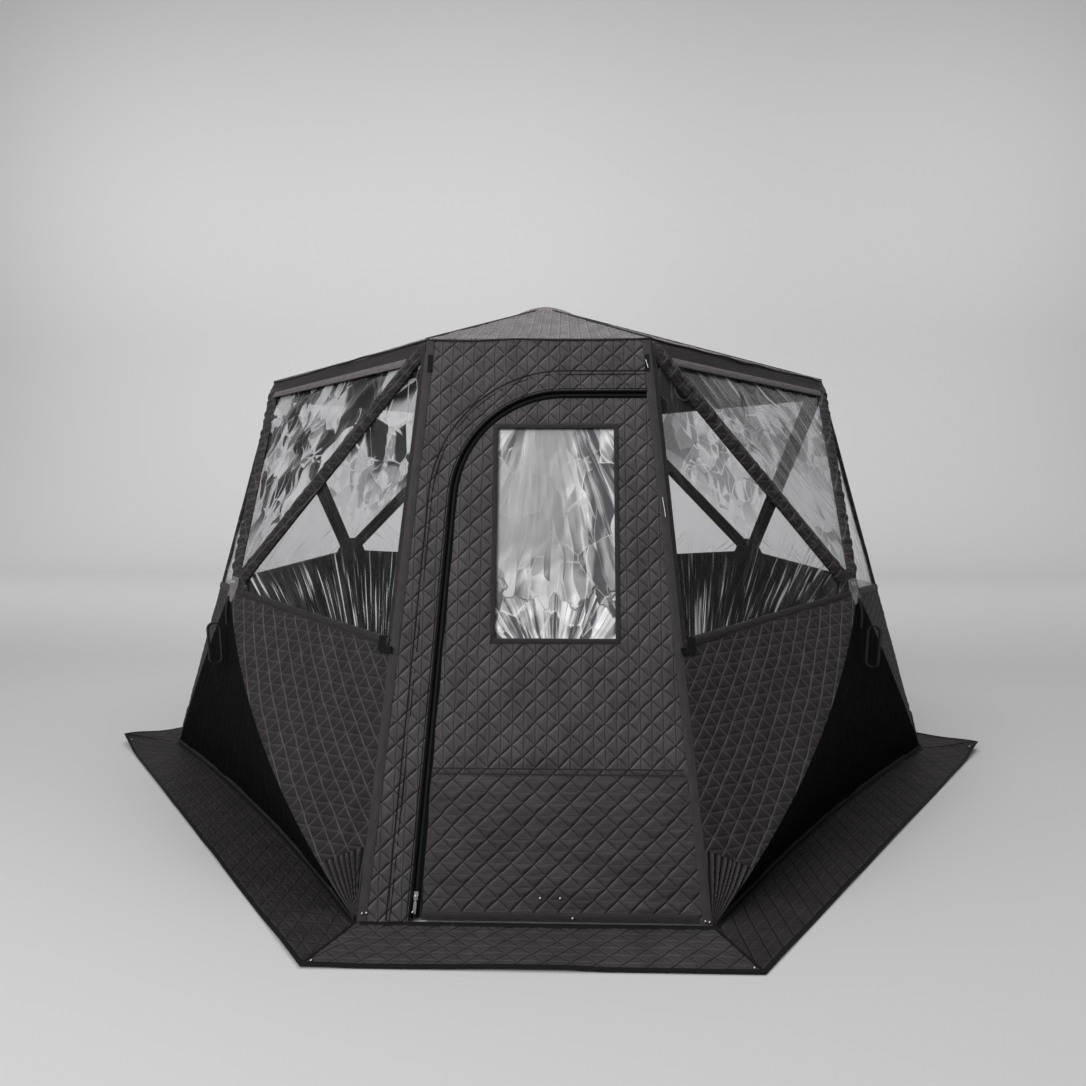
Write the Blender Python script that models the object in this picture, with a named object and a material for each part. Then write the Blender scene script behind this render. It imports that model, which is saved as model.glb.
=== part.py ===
"""Six-sided insulated tent with hubs, rods, clear windows and a zipped door.

Metres, +Z up, origin on the ground under the apex. The front wall, which holds the
door, faces -Y. Four hub walls bulge outwards over crossed rods, and a fifth hub
lifts the roof. Every size below can be changed by itself.
"""

import math

import bmesh
import bpy
from mathutils import Matrix, Vector
from mathutils.geometry import tessellate_polygon

# Outline of the pitched tent
base_half_length = 1.80        # centre to a side corner on the ground
base_half_depth = 1.53         # centre to the front wall on the ground
base_end_half_width = 0.516    # half of the front wall on the ground
top_half_length = 1.280        # the same three sizes at the eaves
top_half_depth = 1.088
top_end_half_width = 0.367
wall_height = 1.742
apex_height = 2.084
hub_height = 0.878             # a wall hub above the ground
hub_bulge = 0.235              # a wall hub in front of its wall's corners
skirt_width = 0.205

# Cloth and film
cloth = 0.008                  # quilted three-layer cloth
skirt_cloth = 0.006
film = 0.0015                  # clear window film
seat_gap = 0.0003              # between pieces that touch
seam_allowance = 0.012         # film sewn behind the cloth round a wall window
leaf_seam_allowance = 0.006    # the same behind the door leaf

# Windows of a hub wall
valance_height = 0.085         # cloth between the eaves and the top window
sleeve_half_width = 0.036      # cloth on each side of a ridge
corner_seam_width = 0.016      # cloth along an upright corner
sill_seam_width = 0.010        # cloth above the lower quilted panel
sill_height = 0.790            # where that panel meets the upright corner
hub_patch_radius = 0.088       # cloth round a hub
film_hub_reach = 0.074         # where the film stops along a ridge, from the hub

# Rods and their ends
rod_radius = 0.0055
ferrule_radius = 0.0062
ferrule_length = 0.045
eye_radius = 0.0072
tip_radius = 0.0075
tip_length = 0.032
tip_round = 0.003
pin_radius = 0.003
pin_play = 0.0003              # between a pin and what it passes through
pin_seat_length = 0.004        # a pin's end in the hub's lobe
slot_play = 0.0008             # between an eye and each side of its slot
wall_tip_reach = 0.062         # a wall rod's tip stops this short of its corner
roof_tip_reach = 0.115         # a roof rod's tip stops this short of its corner

# Hubs
wall_pin_circle = 0.030        # radius of the pins' circle
wall_hub_radius = 0.045
roof_pin_circle = 0.048
roof_hub_radius = 0.064
hub_floor_thickness = 0.009    # below the pins
hub_rim_height = 0.006         # least height of the hub's rim
hub_edge_round = 0.004
hub_boss_radius = 0.010
hub_boss_height = 0.006

# Door in the front wall
door_foot_left = 0.361         # zip line left of the centre, on the ground
door_head_left = 0.253         # the same at the door's head
door_header_height = 0.170     # cloth between the door's head and the eaves
door_corner_radius = 0.360
door_foot_height = 0.014
hinge_margin = 0.030           # hinge line to the right upright corner
zip_gap = 0.022                # wall to leaf across the zip
leaf_window_left = 0.127
leaf_window_right = 0.245
leaf_window_drop = 0.1185      # its top below the door's head
leaf_window_height = 0.6525
binding_width = 0.022
binding_thickness = 0.002

# Zip and storm flap
tape_overlap = 0.010           # behind the wall
tape_leaf_overlap = 0.004      # behind the leaf
tape_thickness = 0.0012
coil_width = 0.006
coil_height = 0.0035
slider_length = 0.024
slider_width = 0.012
slider_wall = 0.002
slider_play = 0.0005
slider_rest_height = 0.075
bail_width = 0.003
bail_height = 0.004
pull_length = 0.048
pull_neck_length = 0.012
pull_width = 0.009
pull_thickness = 0.0025
pull_hole_radius = 0.0024
pull_pin_radius = 0.0014
flap_width = 0.072
flap_thickness = 0.003

# Stovepipe port in the rear roof panel
port_eaves_run = 0.388         # its centre to the eaves, seen from above
port_hole_radius = 0.065
port_cut_radius = 0.095        # opening in the quilted cloth
port_patch_half = 0.140
port_patch_thickness = 0.002
port_ring_height = 0.003
port_ring_width = 0.012
lid_half_width = 0.115
lid_length = 0.230
lid_thickness = 0.004
lid_hinge_radius = 0.004

# Pull loops on the hub walls and tabs at the front corners
loop_drop = 0.130              # from the hub down the lower facet
loop_length = 0.150
loop_reach = 0.052
webbing_width = 0.025
webbing = 0.003
tab_length = 0.040
tab_width = 0.026
tab_thickness = 0.006

# Counts
rod_sides = 10
eye_sides = 14
hub_sides = 32
arc_steps = 9
port_sides = 28

# Surface colours, as linear red, green and blue shares, with roughness and metallic
cloth_finish_shares = ((0.060, 0.056, 0.058), 0.62, 0.0)
roof_finish_shares = ((0.110, 0.103, 0.106), 0.62, 0.0)
skirt_finish_shares = ((0.040, 0.038, 0.039), 0.70, 0.0)
webbing_finish_shares = ((0.006, 0.006, 0.006), 0.75, 0.0)
film_finish_shares = ((0.72, 0.71, 0.72), 0.08, 0.0)
zip_finish_shares = ((0.005, 0.005, 0.005), 0.50, 0.0)
rod_finish_shares = ((0.020, 0.020, 0.022), 0.35, 0.0)
nylon_finish_shares = ((0.012, 0.012, 0.013), 0.45, 0.0)
steel_finish_shares = ((0.60, 0.60, 0.62), 0.30, 1.0)
port_finish_shares = ((0.30, 0.30, 0.31), 0.50, 0.0)


# Scene and materials

def clear_scene():
    """Remove what the scene holds, so the script can run again."""
    for item in list(bpy.data.objects):
        bpy.data.objects.remove(item, do_unlink=True)


def material(name, finish_shares):
    """One Principled material from a colour, a roughness and a metallic share."""
    colour_shares, roughness, metallic = finish_shares
    surface = bpy.data.materials.new(name)
    surface.use_nodes = True
    shader = surface.node_tree.nodes["Principled BSDF"]
    shader.inputs["Base Color"].default_value = (*colour_shares, 1.0)
    shader.inputs["Roughness"].default_value = roughness
    shader.inputs["Metallic"].default_value = metallic
    return surface


# Mesh building

def place(name, mesh, surface, frame=None, parent=None):
    """Link a finished mesh as an object at a frame, and hang it on its parent."""
    mesh.materials.clear()
    mesh.materials.append(surface)
    thing = bpy.data.objects.new(name, mesh)
    bpy.context.collection.objects.link(thing)
    if frame is not None:
        thing.matrix_world = frame
    bpy.context.view_layer.update()
    if parent is not None:
        thing.parent = parent
        thing.matrix_parent_inverse = parent.matrix_world.inverted()
        bpy.context.view_layer.update()
    return thing


def finish_mesh(bm, name):
    """Join what meets, turn the faces outwards and write the mesh."""
    bmesh.ops.remove_doubles(bm, verts=bm.verts, dist=seat_gap / 10)
    bmesh.ops.recalc_face_normals(bm, faces=bm.faces)
    mesh = bpy.data.meshes.new(name)
    bm.to_mesh(mesh)
    bm.free()
    return mesh


def add_slab(bm, front_loops, back_loops, open_sides=()):
    """Plate between matching loops; loops after the first are holes.

    A side of the first loop that is named in open_sides gets no wall, because the
    next plate joins on there.
    """
    front = [[bm.verts.new(point) for point in loop] for loop in front_loops]
    back = [[bm.verts.new(point) for point in loop] for loop in back_loops]
    flat_front = [vertex for loop in front for vertex in loop]
    flat_back = [vertex for loop in back for vertex in loop]
    for corners in tessellate_polygon(front_loops):
        bm.faces.new([flat_front[index] for index in corners])
        bm.faces.new([flat_back[index] for index in reversed(corners)])
    for near, far in zip(front, back):
        for index in range(len(near)):
            if near is front[0] and index in open_sides:
                continue
            after = (index + 1) % len(near)
            bm.faces.new((near[index], near[after], far[after], far[index]))


def add_turned(bm, profile, sides):
    """Solid of revolution about Z from (radius, height) points, ends on the axis."""
    rings = []
    for radius, height in profile:
        if radius == 0:
            rings.append([bm.verts.new((0, 0, height))])
            continue
        turn = 2 * math.pi / sides
        ring = [(radius * math.cos(turn * k), radius * math.sin(turn * k), height) for k in range(sides)]
        rings.append([bm.verts.new(point) for point in ring])
    for low, high in zip(rings, rings[1:]):
        for k in range(sides):
            after = k + 1
            corners = (low[k % len(low)], low[after % len(low)], high[after % len(high)], high[k % len(high)])
            bm.faces.new(list(dict.fromkeys(corners)))


def turned_mesh(name, profile, sides):
    """Mesh of one turned solid."""
    bm = bmesh.new()
    add_turned(bm, profile, sides)
    return finish_mesh(bm, name)


def carve(thing, cutters, operation):
    """Run exact Booleans with each cutter mesh and keep the evaluated result."""
    for cutter_mesh in cutters:
        cutter = place("cutter", cutter_mesh, thing.data.materials[0], thing.matrix_world.copy())
        step = thing.modifiers.new("cut", "BOOLEAN")
        step.operation = operation
        step.solver = "EXACT"
        step.object = cutter
        bpy.context.view_layer.update()
        graph = bpy.context.evaluated_depsgraph_get()
        result = bpy.data.meshes.new_from_object(thing.evaluated_get(graph))
        thing.modifiers.clear()
        thing.data = result
        bpy.data.objects.remove(cutter, do_unlink=True)
    return thing


def shade(thing, angle=math.radians(35)):
    """Smooth shading with sharp edges kept."""
    thing.data.shade_smooth()
    thing.data.set_sharp_from_angle(angle=angle)
    return thing


def frame_from(origin, x_axis, y_axis):
    """Matrix with its X on x_axis, its Y near y_axis and its origin at a point."""
    first = x_axis.normalized()
    third = first.cross(y_axis).normalized()
    second = third.cross(first)
    turn = Matrix((first, second, third)).transposed().to_4x4()
    return Matrix.Translation(origin) @ turn


# Plan of the tent: six corners counter-clockwise from the front right one

def plan_ring(half_length, half_depth, end_half_width):
    """The six corners of one level, seen from above."""
    return [
        Vector((end_half_width, -half_depth)),
        Vector((half_length, 0)),
        Vector((end_half_width, half_depth)),
        Vector((-end_half_width, half_depth)),
        Vector((-half_length, 0)),
        Vector((-end_half_width, -half_depth)),
    ]


base_ring = plan_ring(base_half_length, base_half_depth, base_end_half_width)
top_ring = plan_ring(top_half_length, top_half_depth, top_end_half_width)


def side_normal(ring, index):
    """Outward plan normal of the side that starts at a corner."""
    run = ring[(index + 1) % len(ring)] - ring[index]
    return Vector((run.y, -run.x)).normalized()


def ring_corner(ring, index, inset):
    """A corner moved inwards, so that both of its sides move by the inset."""
    before = side_normal(ring, index - 1)
    after = side_normal(ring, index)
    return ring[index] - (before + after) * (inset / (1 + before.dot(after)))


def corner_point(index, share, inset):
    """A point on an upright corner, its height as a share of the wall's."""
    foot = ring_corner(base_ring, index % len(base_ring), inset)
    head = ring_corner(top_ring, index % len(top_ring), inset)
    plan = foot.lerp(head, share)
    return Vector((plan.x, plan.y, wall_height * share))


foot_share = (skirt_cloth + seat_gap) / wall_height
eaves_share = (wall_height - seat_gap) / wall_height
sill_share = (sill_height - skirt_cloth) / (wall_height - skirt_cloth)


# Flat pieces of cloth: triangles with an outer and an inner face

class Facet:
    """Triangle of cloth, with points given along it and by depth behind its face."""

    def __init__(self, outer, inner):
        self.outer = outer
        self.inner = inner
        self.along = (outer[1] - outer[0]).normalized()
        self.out = (outer[1] - outer[0]).cross(outer[2] - outer[0]).normalized()
        self.across = self.out.cross(self.along)
        self.flat = [self.flatten(point) for point in outer]

    def flatten(self, point):
        """Coordinates of a point along and across the facet."""
        offset = point - self.outer[0]
        return Vector((offset.dot(self.along), offset.dot(self.across)))

    def lift(self, point, depth):
        """Point of the facet at a depth behind its outer face."""
        first, second, third = self.flat
        whole = (second - first).cross(third - first)
        weight_two = (point - first).cross(third - first) / whole
        weight_three = (second - first).cross(point - first) / whole
        weights = (1 - weight_two - weight_three, weight_two, weight_three)
        place_out = sum((w * p for w, p in zip(weights, self.outer)), Vector((0, 0, 0)))
        place_in = sum((w * p for w, p in zip(weights, self.inner)), Vector((0, 0, 0)))
        return place_out + (place_in - place_out) * (depth / cloth)

    def loop(self, outline, depth):
        """An outline lifted to a depth."""
        return [self.lift(point, depth) for point in outline]


def clip(outline, start, end, margin):
    """Part of a convex outline to the left of the line start-end, past a margin."""
    run = (end - start).normalized()
    left = Vector((-run.y, run.x))

    def height(point):
        return (point - start).dot(left) - margin

    kept = []
    for index, point in enumerate(outline):
        after = outline[(index + 1) % len(outline)]
        here = height(point)
        there = height(after)
        if here >= 0:
            kept.append(point)
        if here * there < 0:
            kept.append(point.lerp(after, here / (here - there)))
    return kept


def inset(corners, margins):
    """A convex outline moved inwards by one margin for each side."""
    outline = list(corners)
    for index, margin in enumerate(margins):
        outline = clip(outline, corners[index], corners[(index + 1) % len(corners)], margin)
    return outline


def clear_of(outline, centre, towards, reach):
    """Cut the corner of an outline that lies near a point."""
    run = (towards - centre).normalized()
    start = centre + run * reach
    return clip(outline, start, start + Vector((run.y, -run.x)), 0)


# Hub walls

class HubWall:
    """One bulging wall: its hub point, its four facets and its rod lines."""

    def __init__(self, index):
        self.index = index
        self.out_plan = side_normal(base_ring, index)
        foot = (corner_point(index, 0, 0) + corner_point(index + 1, 0, 0)) / 2
        head = (corner_point(index, 1, 0) + corner_point(index + 1, 1, 0)) / 2
        middle = foot.lerp(head, hub_height / wall_height)
        self.run = (corner_point(index + 1, 0, 0) - corner_point(index, 0, 0)).normalized()
        self.rise = (head - foot).normalized()
        self.out = self.run.cross(self.rise).normalized()
        self.hub = middle + Vector((self.out_plan.x, self.out_plan.y, 0)) * hub_bulge
        self.hub_in = self.hub - self.out * cloth
        low, high = foot_share, eaves_share
        clear = self.run * (seat_gap / 2)
        ends = ((index, low, clear), (index + 1, low, -clear),
                (index + 1, high, -clear), (index, high, clear))
        self.corners_out = [corner_point(i, share, 0) + shift for i, share, shift in ends]
        self.corners_in = [corner_point(i, share, cloth) + shift for i, share, shift in ends]
        self.facets = []
        for k in range(len(ends)):
            after = (k + 1) % len(ends)
            outer = (self.corners_out[k], self.corners_out[after], self.hub)
            inner = (self.corners_in[k], self.corners_in[after], self.hub_in)
            self.facets.append(Facet(outer, inner))

    def window(self, k):
        """Window outline of a facet, or None for the lower one, which has none."""
        facet = self.facets[k]
        start, end, hub = facet.flat
        if k == 0:
            return None
        if k == 2:
            outline = inset((start, end, hub), (valance_height, sleeve_half_width, sleeve_half_width))
            return clear_of(outline, hub, (start + end) / 2, hub_patch_radius)
        if k == 1:
            sill = start.lerp(end, sill_share)
            outline = inset((sill, end, hub), (corner_seam_width, sleeve_half_width, sill_seam_width))
            return clear_of(outline, hub, (sill + end) / 2, hub_patch_radius)
        sill = end.lerp(start, sill_share)
        outline = inset((start, sill, hub), (corner_seam_width, sill_seam_width, sleeve_half_width))
        return clear_of(outline, hub, (start + sill) / 2, hub_patch_radius)

    def cloth_mesh(self, name):
        """The four facets as one folded cloth with three window openings."""
        bm = bmesh.new()
        for k, facet in enumerate(self.facets):
            loops = [facet.flat]
            window = self.window(k)
            if window:
                loops.append(window)
            add_slab(bm, [facet.loop(loop, 0) for loop in loops],
                     [facet.loop(loop, cloth) for loop in loops], open_sides=(1, 2))
        return finish_mesh(bm, name)

    def film_outline(self, k):
        """Film outline on a facet, and its sides that go on over a ridge."""
        facet = self.facets[k]
        start, end, hub = facet.flat
        edge = corner_seam_width - seam_allowance
        top_share = (valance_height - seam_allowance) / self.facets[2].flat[2].y
        if k == 2:
            reach = film_hub_reach / (start - hub).length
            outline = [start.lerp(hub, top_share), end.lerp(hub, top_share),
                       hub.lerp(end, film_hub_reach / (end - hub).length), hub.lerp(start, reach)]
            return outline, (1, 3)
        head, foot = (end, start) if k == 1 else (start, end)
        sill = foot.lerp(head, sill_share)
        sill_run = (hub - sill).normalized()
        below = Vector((sill_run.y, -sill_run.x)) * (seam_allowance - sill_seam_width)
        if below.dot(foot - sill) < 0:
            below = -below
        edge_point = sill + below + sill_run * (edge - below.y) / sill_run.y
        outline = [
            edge_point,
            head.lerp(hub, edge / hub.y),
            head.lerp(hub, top_share),
            hub.lerp(head, film_hub_reach / (head - hub).length),
            hub + below - sill_run * film_hub_reach,
        ]
        if k == 1:
            return outline, (2,)
        return list(reversed(outline)), (1,)

    def film_mesh(self, name):
        """One film folded over the two upper ridges, sewn behind the cloth."""
        bm = bmesh.new()
        near = cloth + seat_gap
        for k in (1, 2, 3):
            outline, shared = self.film_outline(k)
            facet = self.facets[k]
            add_slab(bm, [facet.loop(outline, near)], [facet.loop(outline, near + film)], open_sides=shared)
        return finish_mesh(bm, name)

    def rods(self):
        """Name, pin point, direction and tip length of the rods to the four corners."""
        names = ("lower_start", "lower_end", "upper_end", "upper_start")
        lines = []
        for k, name in enumerate(names):
            faces = (self.facets[k - 1], self.facets[k])
            lines.append((name, *rod_line(self.hub_in, self.corners_in[k], self.out, faces,
                                          wall_pin_circle, wall_tip_reach)))
        return lines


def inner_normal(facet):
    """Outward normal of a facet's inner face."""
    first, second, third = facet.inner
    return (second - first).cross(third - first).normalized()


def rod_line(hub_in, corner_in, out, faces, pin_circle, reach):
    """Pin point, direction and length of the rod that lies behind a ridge."""
    closeness = min(out.dot(inner_normal(facet)) for facet in faces)
    sink = -out * ((tip_radius + film + 2 * seat_gap) / closeness)
    start = hub_in + sink
    end = corner_in + sink
    run = (end - start).normalized()
    spread = (run - out * run.dot(out)).length
    pin = start + run * (pin_circle / spread)
    return pin, run, (end - pin).length - reach


# Hubs, pins and rods

eye_thickness = 2 * ferrule_radius
slot_width = 2 * (ferrule_radius + slot_play)
eye_root_share = 0.62          # where the ferrule starts, of the eye's radius


def add_rod_core(bm, length):
    """Ferrule, rod and rubber tip turned about Z from the eye outwards."""
    root = eye_root_share * eye_radius
    add_turned(bm, (
        (0, root),
        (ferrule_radius, root),
        (ferrule_radius, ferrule_length),
        (rod_radius, ferrule_length),
        (rod_radius, length - tip_length),
        (tip_radius, length - tip_length),
        (tip_radius, length - tip_round),
        (tip_radius - tip_round, length),
        (0, length),
    ), rod_sides)


def disc_mesh(radius, thickness, sides, turn, shift=Vector((0, 0, 0))):
    """Cylinder centred on its axis, turned and moved into place."""
    bm = bmesh.new()
    half = thickness / 2
    add_turned(bm, ((0, -half), (radius, -half), (radius, half), (0, half)), sides)
    bmesh.ops.transform(bm, matrix=Matrix.Translation(shift) @ turn, verts=bm.verts)
    return finish_mesh(bm, "disc")


to_x = Matrix.Rotation(math.radians(90), 4, "Y")
to_y = Matrix.Rotation(math.radians(-90), 4, "X")
no_turn = Matrix.Identity(4)
rod_meshes = {}


def make_rod(name, line, out, surface, hub_object):
    """One rod with its bored eye on the hub's pin; rods of one length share a mesh."""
    pin, run, length = line
    frame = frame_from(pin, run, out.cross(run))
    key = round(length / seat_gap)
    if key in rod_meshes:
        return place(name, rod_meshes[key], surface, frame, hub_object)
    bm = bmesh.new()
    add_rod_core(bm, length)
    bmesh.ops.transform(bm, matrix=to_x, verts=bm.verts)
    rod = place(name, finish_mesh(bm, name), surface, frame)
    carve(rod, [disc_mesh(eye_radius, eye_thickness, eye_sides, to_y)], "UNION")
    bore_length = eye_thickness + 2 * slot_play
    carve(rod, [disc_mesh(pin_radius + pin_play, bore_length, rod_sides, to_y)], "DIFFERENCE")
    shade(rod)
    rod_meshes[key] = rod.data
    rod.parent = hub_object
    rod.matrix_parent_inverse = hub_object.matrix_world.inverted()
    return rod


def slot_mesh(run, inner, outer, depth):
    """Cutter for one radial slot through the hub."""
    side = Vector((-run.y, run.x, 0)) * (slot_width / 2)
    corners = (run * inner - side, run * outer - side, run * outer + side, run * inner + side)
    bm = bmesh.new()
    lift = Vector((0, 0, depth))
    add_slab(bm, [[point + lift for point in corners]], [[point - lift for point in corners]])
    return finish_mesh(bm, "slot")


def make_hub(name, hub_in, out, lines, faces, radius, pin_circle, surface):
    """Domed hub with a slot for each rod and a pin across it, moulded in."""
    first_run = lines[0][2]
    frame = frame_from(hub_in, first_run - out * first_run.dot(out), out.cross(first_run))
    back = frame.inverted()
    steep = max(math.tan(math.acos(out.dot(inner_normal(facet)))) for facet in faces)
    pins = [back @ pin for _, pin, _, _ in lines]
    runs = [Vector((pin.x, pin.y, 0)).normalized() for pin in pins]
    shoulder = radius - hub_edge_round
    rim = -seat_gap - radius * steep - hub_edge_round / 2
    floor = min(min(pin.z for pin in pins) - hub_floor_thickness, rim - hub_rim_height)
    hub = place(name, turned_mesh(name, (
        (0, -seat_gap),
        (shoulder, -seat_gap - shoulder * steep),
        (radius, rim),
        (radius, floor + hub_edge_round),
        (shoulder, floor),
        (hub_boss_radius, floor),
        (hub_boss_radius, floor - hub_boss_height),
        (0, floor - hub_boss_height),
    ), hub_sides), surface, frame)
    slot_inner = pin_circle - eye_radius - slot_play
    slot_outer = 2 * radius
    carve(hub, [slot_mesh(run, slot_inner, slot_outer, radius - floor) for run in runs], "DIFFERENCE")
    for pin, run in zip(pins, runs):
        turn = Vector((0, 0, 1)).rotation_difference(Vector((-run.y, run.x, 0))).to_matrix().to_4x4()
        carve(hub, [disc_mesh(pin_radius, slot_width + 2 * pin_seat_length, rod_sides, turn, pin)], "UNION")
    return shade(hub)


# Front and back walls, in their own across and height

def end_depth(height):
    """Distance of the front and back walls from the centre at a height."""
    return base_half_depth + (top_half_depth - base_half_depth) * height / wall_height


def end_half(height):
    """Half of the front wall's width at a height."""
    return base_end_half_width + (top_end_half_width - base_end_half_width) * height / wall_height


def front_point(point, depth):
    """Point of the front wall from its across and height, behind its outer face."""
    return Vector((point.x, depth - end_depth(point.y), point.y))


def front_loop(outline, depth):
    """An outline on the front wall at a depth."""
    return [front_point(point, depth) for point in outline]


def hinge_across(height):
    """Where the door's hinge line lies at a height."""
    return end_half(height) - hinge_margin


door_head_height = wall_height - door_header_height
leaf_window_head = door_head_height - leaf_window_drop
leaf_window_foot = leaf_window_head - leaf_window_height
door_foot_corner = Vector((-door_foot_left, 0))
door_left_run = (Vector((-door_head_left, door_head_height)) - door_foot_corner).normalized()
door_left_in = Vector((door_left_run.y, -door_left_run.x))
arc_low = door_head_height - door_corner_radius
arc_centre_run = (arc_low - door_left_in.y * door_corner_radius) / door_left_run.y
arc_centre = door_foot_corner + door_left_run * arc_centre_run + door_left_in * door_corner_radius


def door_path(inset_by, foot):
    """Door outline from its foot up the left side, round the corner to the hinge line."""
    start = door_foot_corner + door_left_in * inset_by
    start = start + door_left_run * ((foot - start.y) / door_left_run.y)
    radius = door_corner_radius - inset_by
    first = math.atan2(-door_left_in.y, -door_left_in.x) % (2 * math.pi)
    last = math.pi / 2
    path = [start]
    for step in range(arc_steps + 1):
        angle = first + (last - first) * step / arc_steps
        path.append(arc_centre + Vector((math.cos(angle), math.sin(angle))) * radius)
    head = door_head_height - inset_by
    path.append(Vector((hinge_across(head), head)))
    return path


def ribbon_mesh(name, near, far, outside, inside):
    """Strip along the door's outline, from one inset to another and between depths."""
    bm = bmesh.new()
    outline = door_path(near, door_foot_height) + list(reversed(door_path(far, door_foot_height)))
    add_slab(bm, [front_loop(outline, outside)], [front_loop(outline, inside)])
    return finish_mesh(bm, name)


def front_wall_mesh():
    """Arch of cloth round the door, mitred to the hub walls at both corners."""
    low = wall_height * foot_share
    opening = door_path(0, low) + [Vector((hinge_across(low), low))]
    half_gap = Vector((seat_gap / 2, 0, 0))
    rims = []
    for depth in (0, cloth):
        left_low = corner_point(5, foot_share, depth) + half_gap
        right_low = corner_point(0, foot_share, depth) - half_gap
        right_high = corner_point(0, eaves_share, depth) - half_gap
        left_high = corner_point(5, eaves_share, depth) + half_gap
        rims.append([left_low, *front_loop(opening, depth), right_low, right_high, left_high])
    bm = bmesh.new()
    add_slab(bm, [rims[0]], [rims[1]])
    return finish_mesh(bm, "front_wall")


def back_wall_mesh():
    """Plain cloth of the back wall."""
    half_gap = Vector((seat_gap / 2, 0, 0))
    bm = bmesh.new()
    rims = []
    for depth in (0, cloth):
        rims.append([
            corner_point(2, foot_share, depth) - half_gap,
            corner_point(3, foot_share, depth) + half_gap,
            corner_point(3, eaves_share, depth) + half_gap,
            corner_point(2, eaves_share, depth) - half_gap,
        ])
    add_slab(bm, [rims[0]], [rims[1]])
    return finish_mesh(bm, "back_wall")


def box_outline(left, right, foot, head):
    """Rectangle as an outline."""
    return [Vector((left, foot)), Vector((right, foot)), Vector((right, head)), Vector((left, head))]


def place_world(name, mesh, surface, frame, parent=None):
    """Place a mesh that was built in world coordinates on a frame of its own."""
    mesh.transform(frame.inverted())
    return place(name, mesh, surface, frame, parent)


def make_door(surfaces):
    """Leaf on its hinge line, with its window film and the binding round it."""
    low = Vector((hinge_across(0), 0))
    high = Vector((hinge_across(wall_height), wall_height))
    foot_point = front_point(low, 0)
    hinge = front_point(high, 0) - foot_point
    frame = frame_from(foot_point, hinge, Vector((-1, 0, 0)))
    window = box_outline(-leaf_window_left, leaf_window_right, leaf_window_foot, leaf_window_head)
    rim = door_path(zip_gap, door_foot_height)
    rim[-1] = rim[-1] - Vector((seat_gap, 0))
    rim.append(Vector((hinge_across(door_foot_height) - seat_gap, door_foot_height)))
    bm = bmesh.new()
    add_slab(bm, [front_loop(loop, 0) for loop in (rim, window)],
             [front_loop(loop, cloth) for loop in (rim, window)])
    leaf = place_world("door_leaf", finish_mesh(bm, "door_leaf"), surfaces["cloth"], frame)
    bm = bmesh.new()
    wide = grow(window, leaf_seam_allowance)
    near = cloth + seat_gap
    add_slab(bm, [front_loop(wide, near)], [front_loop(wide, near + film)])
    place_world("door_window_film", finish_mesh(bm, "door_window_film"), surfaces["film"], frame, leaf)
    bm = bmesh.new()
    outer = grow(window, binding_width)
    front = -seat_gap - binding_thickness
    add_slab(bm, [front_loop(outer, front), front_loop(window, front)],
             [front_loop(outer, -seat_gap), front_loop(window, -seat_gap)])
    place_world("door_window_binding", finish_mesh(bm, "door_window_binding"), surfaces["cloth"], frame, leaf)
    return leaf


def grow(outline, margin):
    """A convex counter-clockwise outline moved outwards by a margin."""
    moved = []
    for index, point in enumerate(outline):
        before = (point - outline[index - 1]).normalized()
        after = (outline[(index + 1) % len(outline)] - point).normalized()
        out_before = Vector((before.y, -before.x))
        out_after = Vector((after.y, -after.x))
        moved.append(point + (out_before + out_after) * (margin / (1 + out_before.dot(out_after))))
    return moved


# Zip, slider and pull

def make_zip(surfaces):
    """Tape and coil along the door's edge, the slider on it and its hanging pull."""
    tape_near = cloth + seat_gap
    coil_near = (zip_gap - coil_width) / 2
    tape_far = tape_near + tape_thickness
    tape = ribbon_mesh("zip_tape", -tape_overlap, zip_gap + tape_leaf_overlap, tape_near, tape_far)
    place("zip_tape", tape, surfaces["zip"])
    coil = ribbon_mesh("zip_coil", coil_near, coil_near + coil_width, cloth - coil_height, cloth)
    place("zip_coil", coil, surfaces["zip"])
    middle = zip_gap / 2
    rest = door_path(middle, slider_rest_height)[0]
    top = door_path(middle, door_foot_height)[1]
    origin = front_point(rest, cloth)
    along = front_point(top, cloth) - origin
    across = Vector((1, 0, 0))
    across = (across - along * (across.dot(along) / along.length_squared)).normalized()
    frame = frame_from(origin, across, along)
    slider = place("zip_slider", slider_mesh(), surfaces["steel"], frame)
    lug_centre = pull_half_width + slider_play + bail_width / 2
    lug_low = slider_top - slider_wall / 2
    lug_high = pull_pin_height + bail_height / 2
    for side in (-1, 1):
        middle_point = Vector((side * lug_centre, 0, (lug_low + lug_high) / 2))
        carve(slider, [box_mesh(bail_width, bail_height, lug_high - lug_low, middle_point)], "UNION")
    pin_centre = Vector((0, 0, pull_pin_height))
    carve(slider, [disc_mesh(pull_pin_radius, 2 * lug_centre, rod_sides, to_x, pin_centre)], "UNION")
    shade(slider)
    pull = place("zip_pull", disc_mesh(pull_eye_radius, 2 * pull_half_width, eye_sides, to_x),
                 surfaces["steel"], frame @ Matrix.Translation(pin_centre))
    carve(pull, [pull_blade_mesh()], "UNION")
    carve(pull, [disc_mesh(pull_hole_radius, pull_width, rod_sides, to_x)], "DIFFERENCE")
    shade(pull)
    pull.parent = slider
    pull.matrix_parent_inverse = slider.matrix_world.inverted()
    return slider


slider_top = coil_height + slider_play + slider_wall
pull_half_width = (slider_width - 2 * bail_width - 2 * slider_play) / 2
pull_eye_radius = pull_hole_radius + pull_thickness / 2
pull_pin_height = slider_top + pull_eye_radius + slider_play


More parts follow.
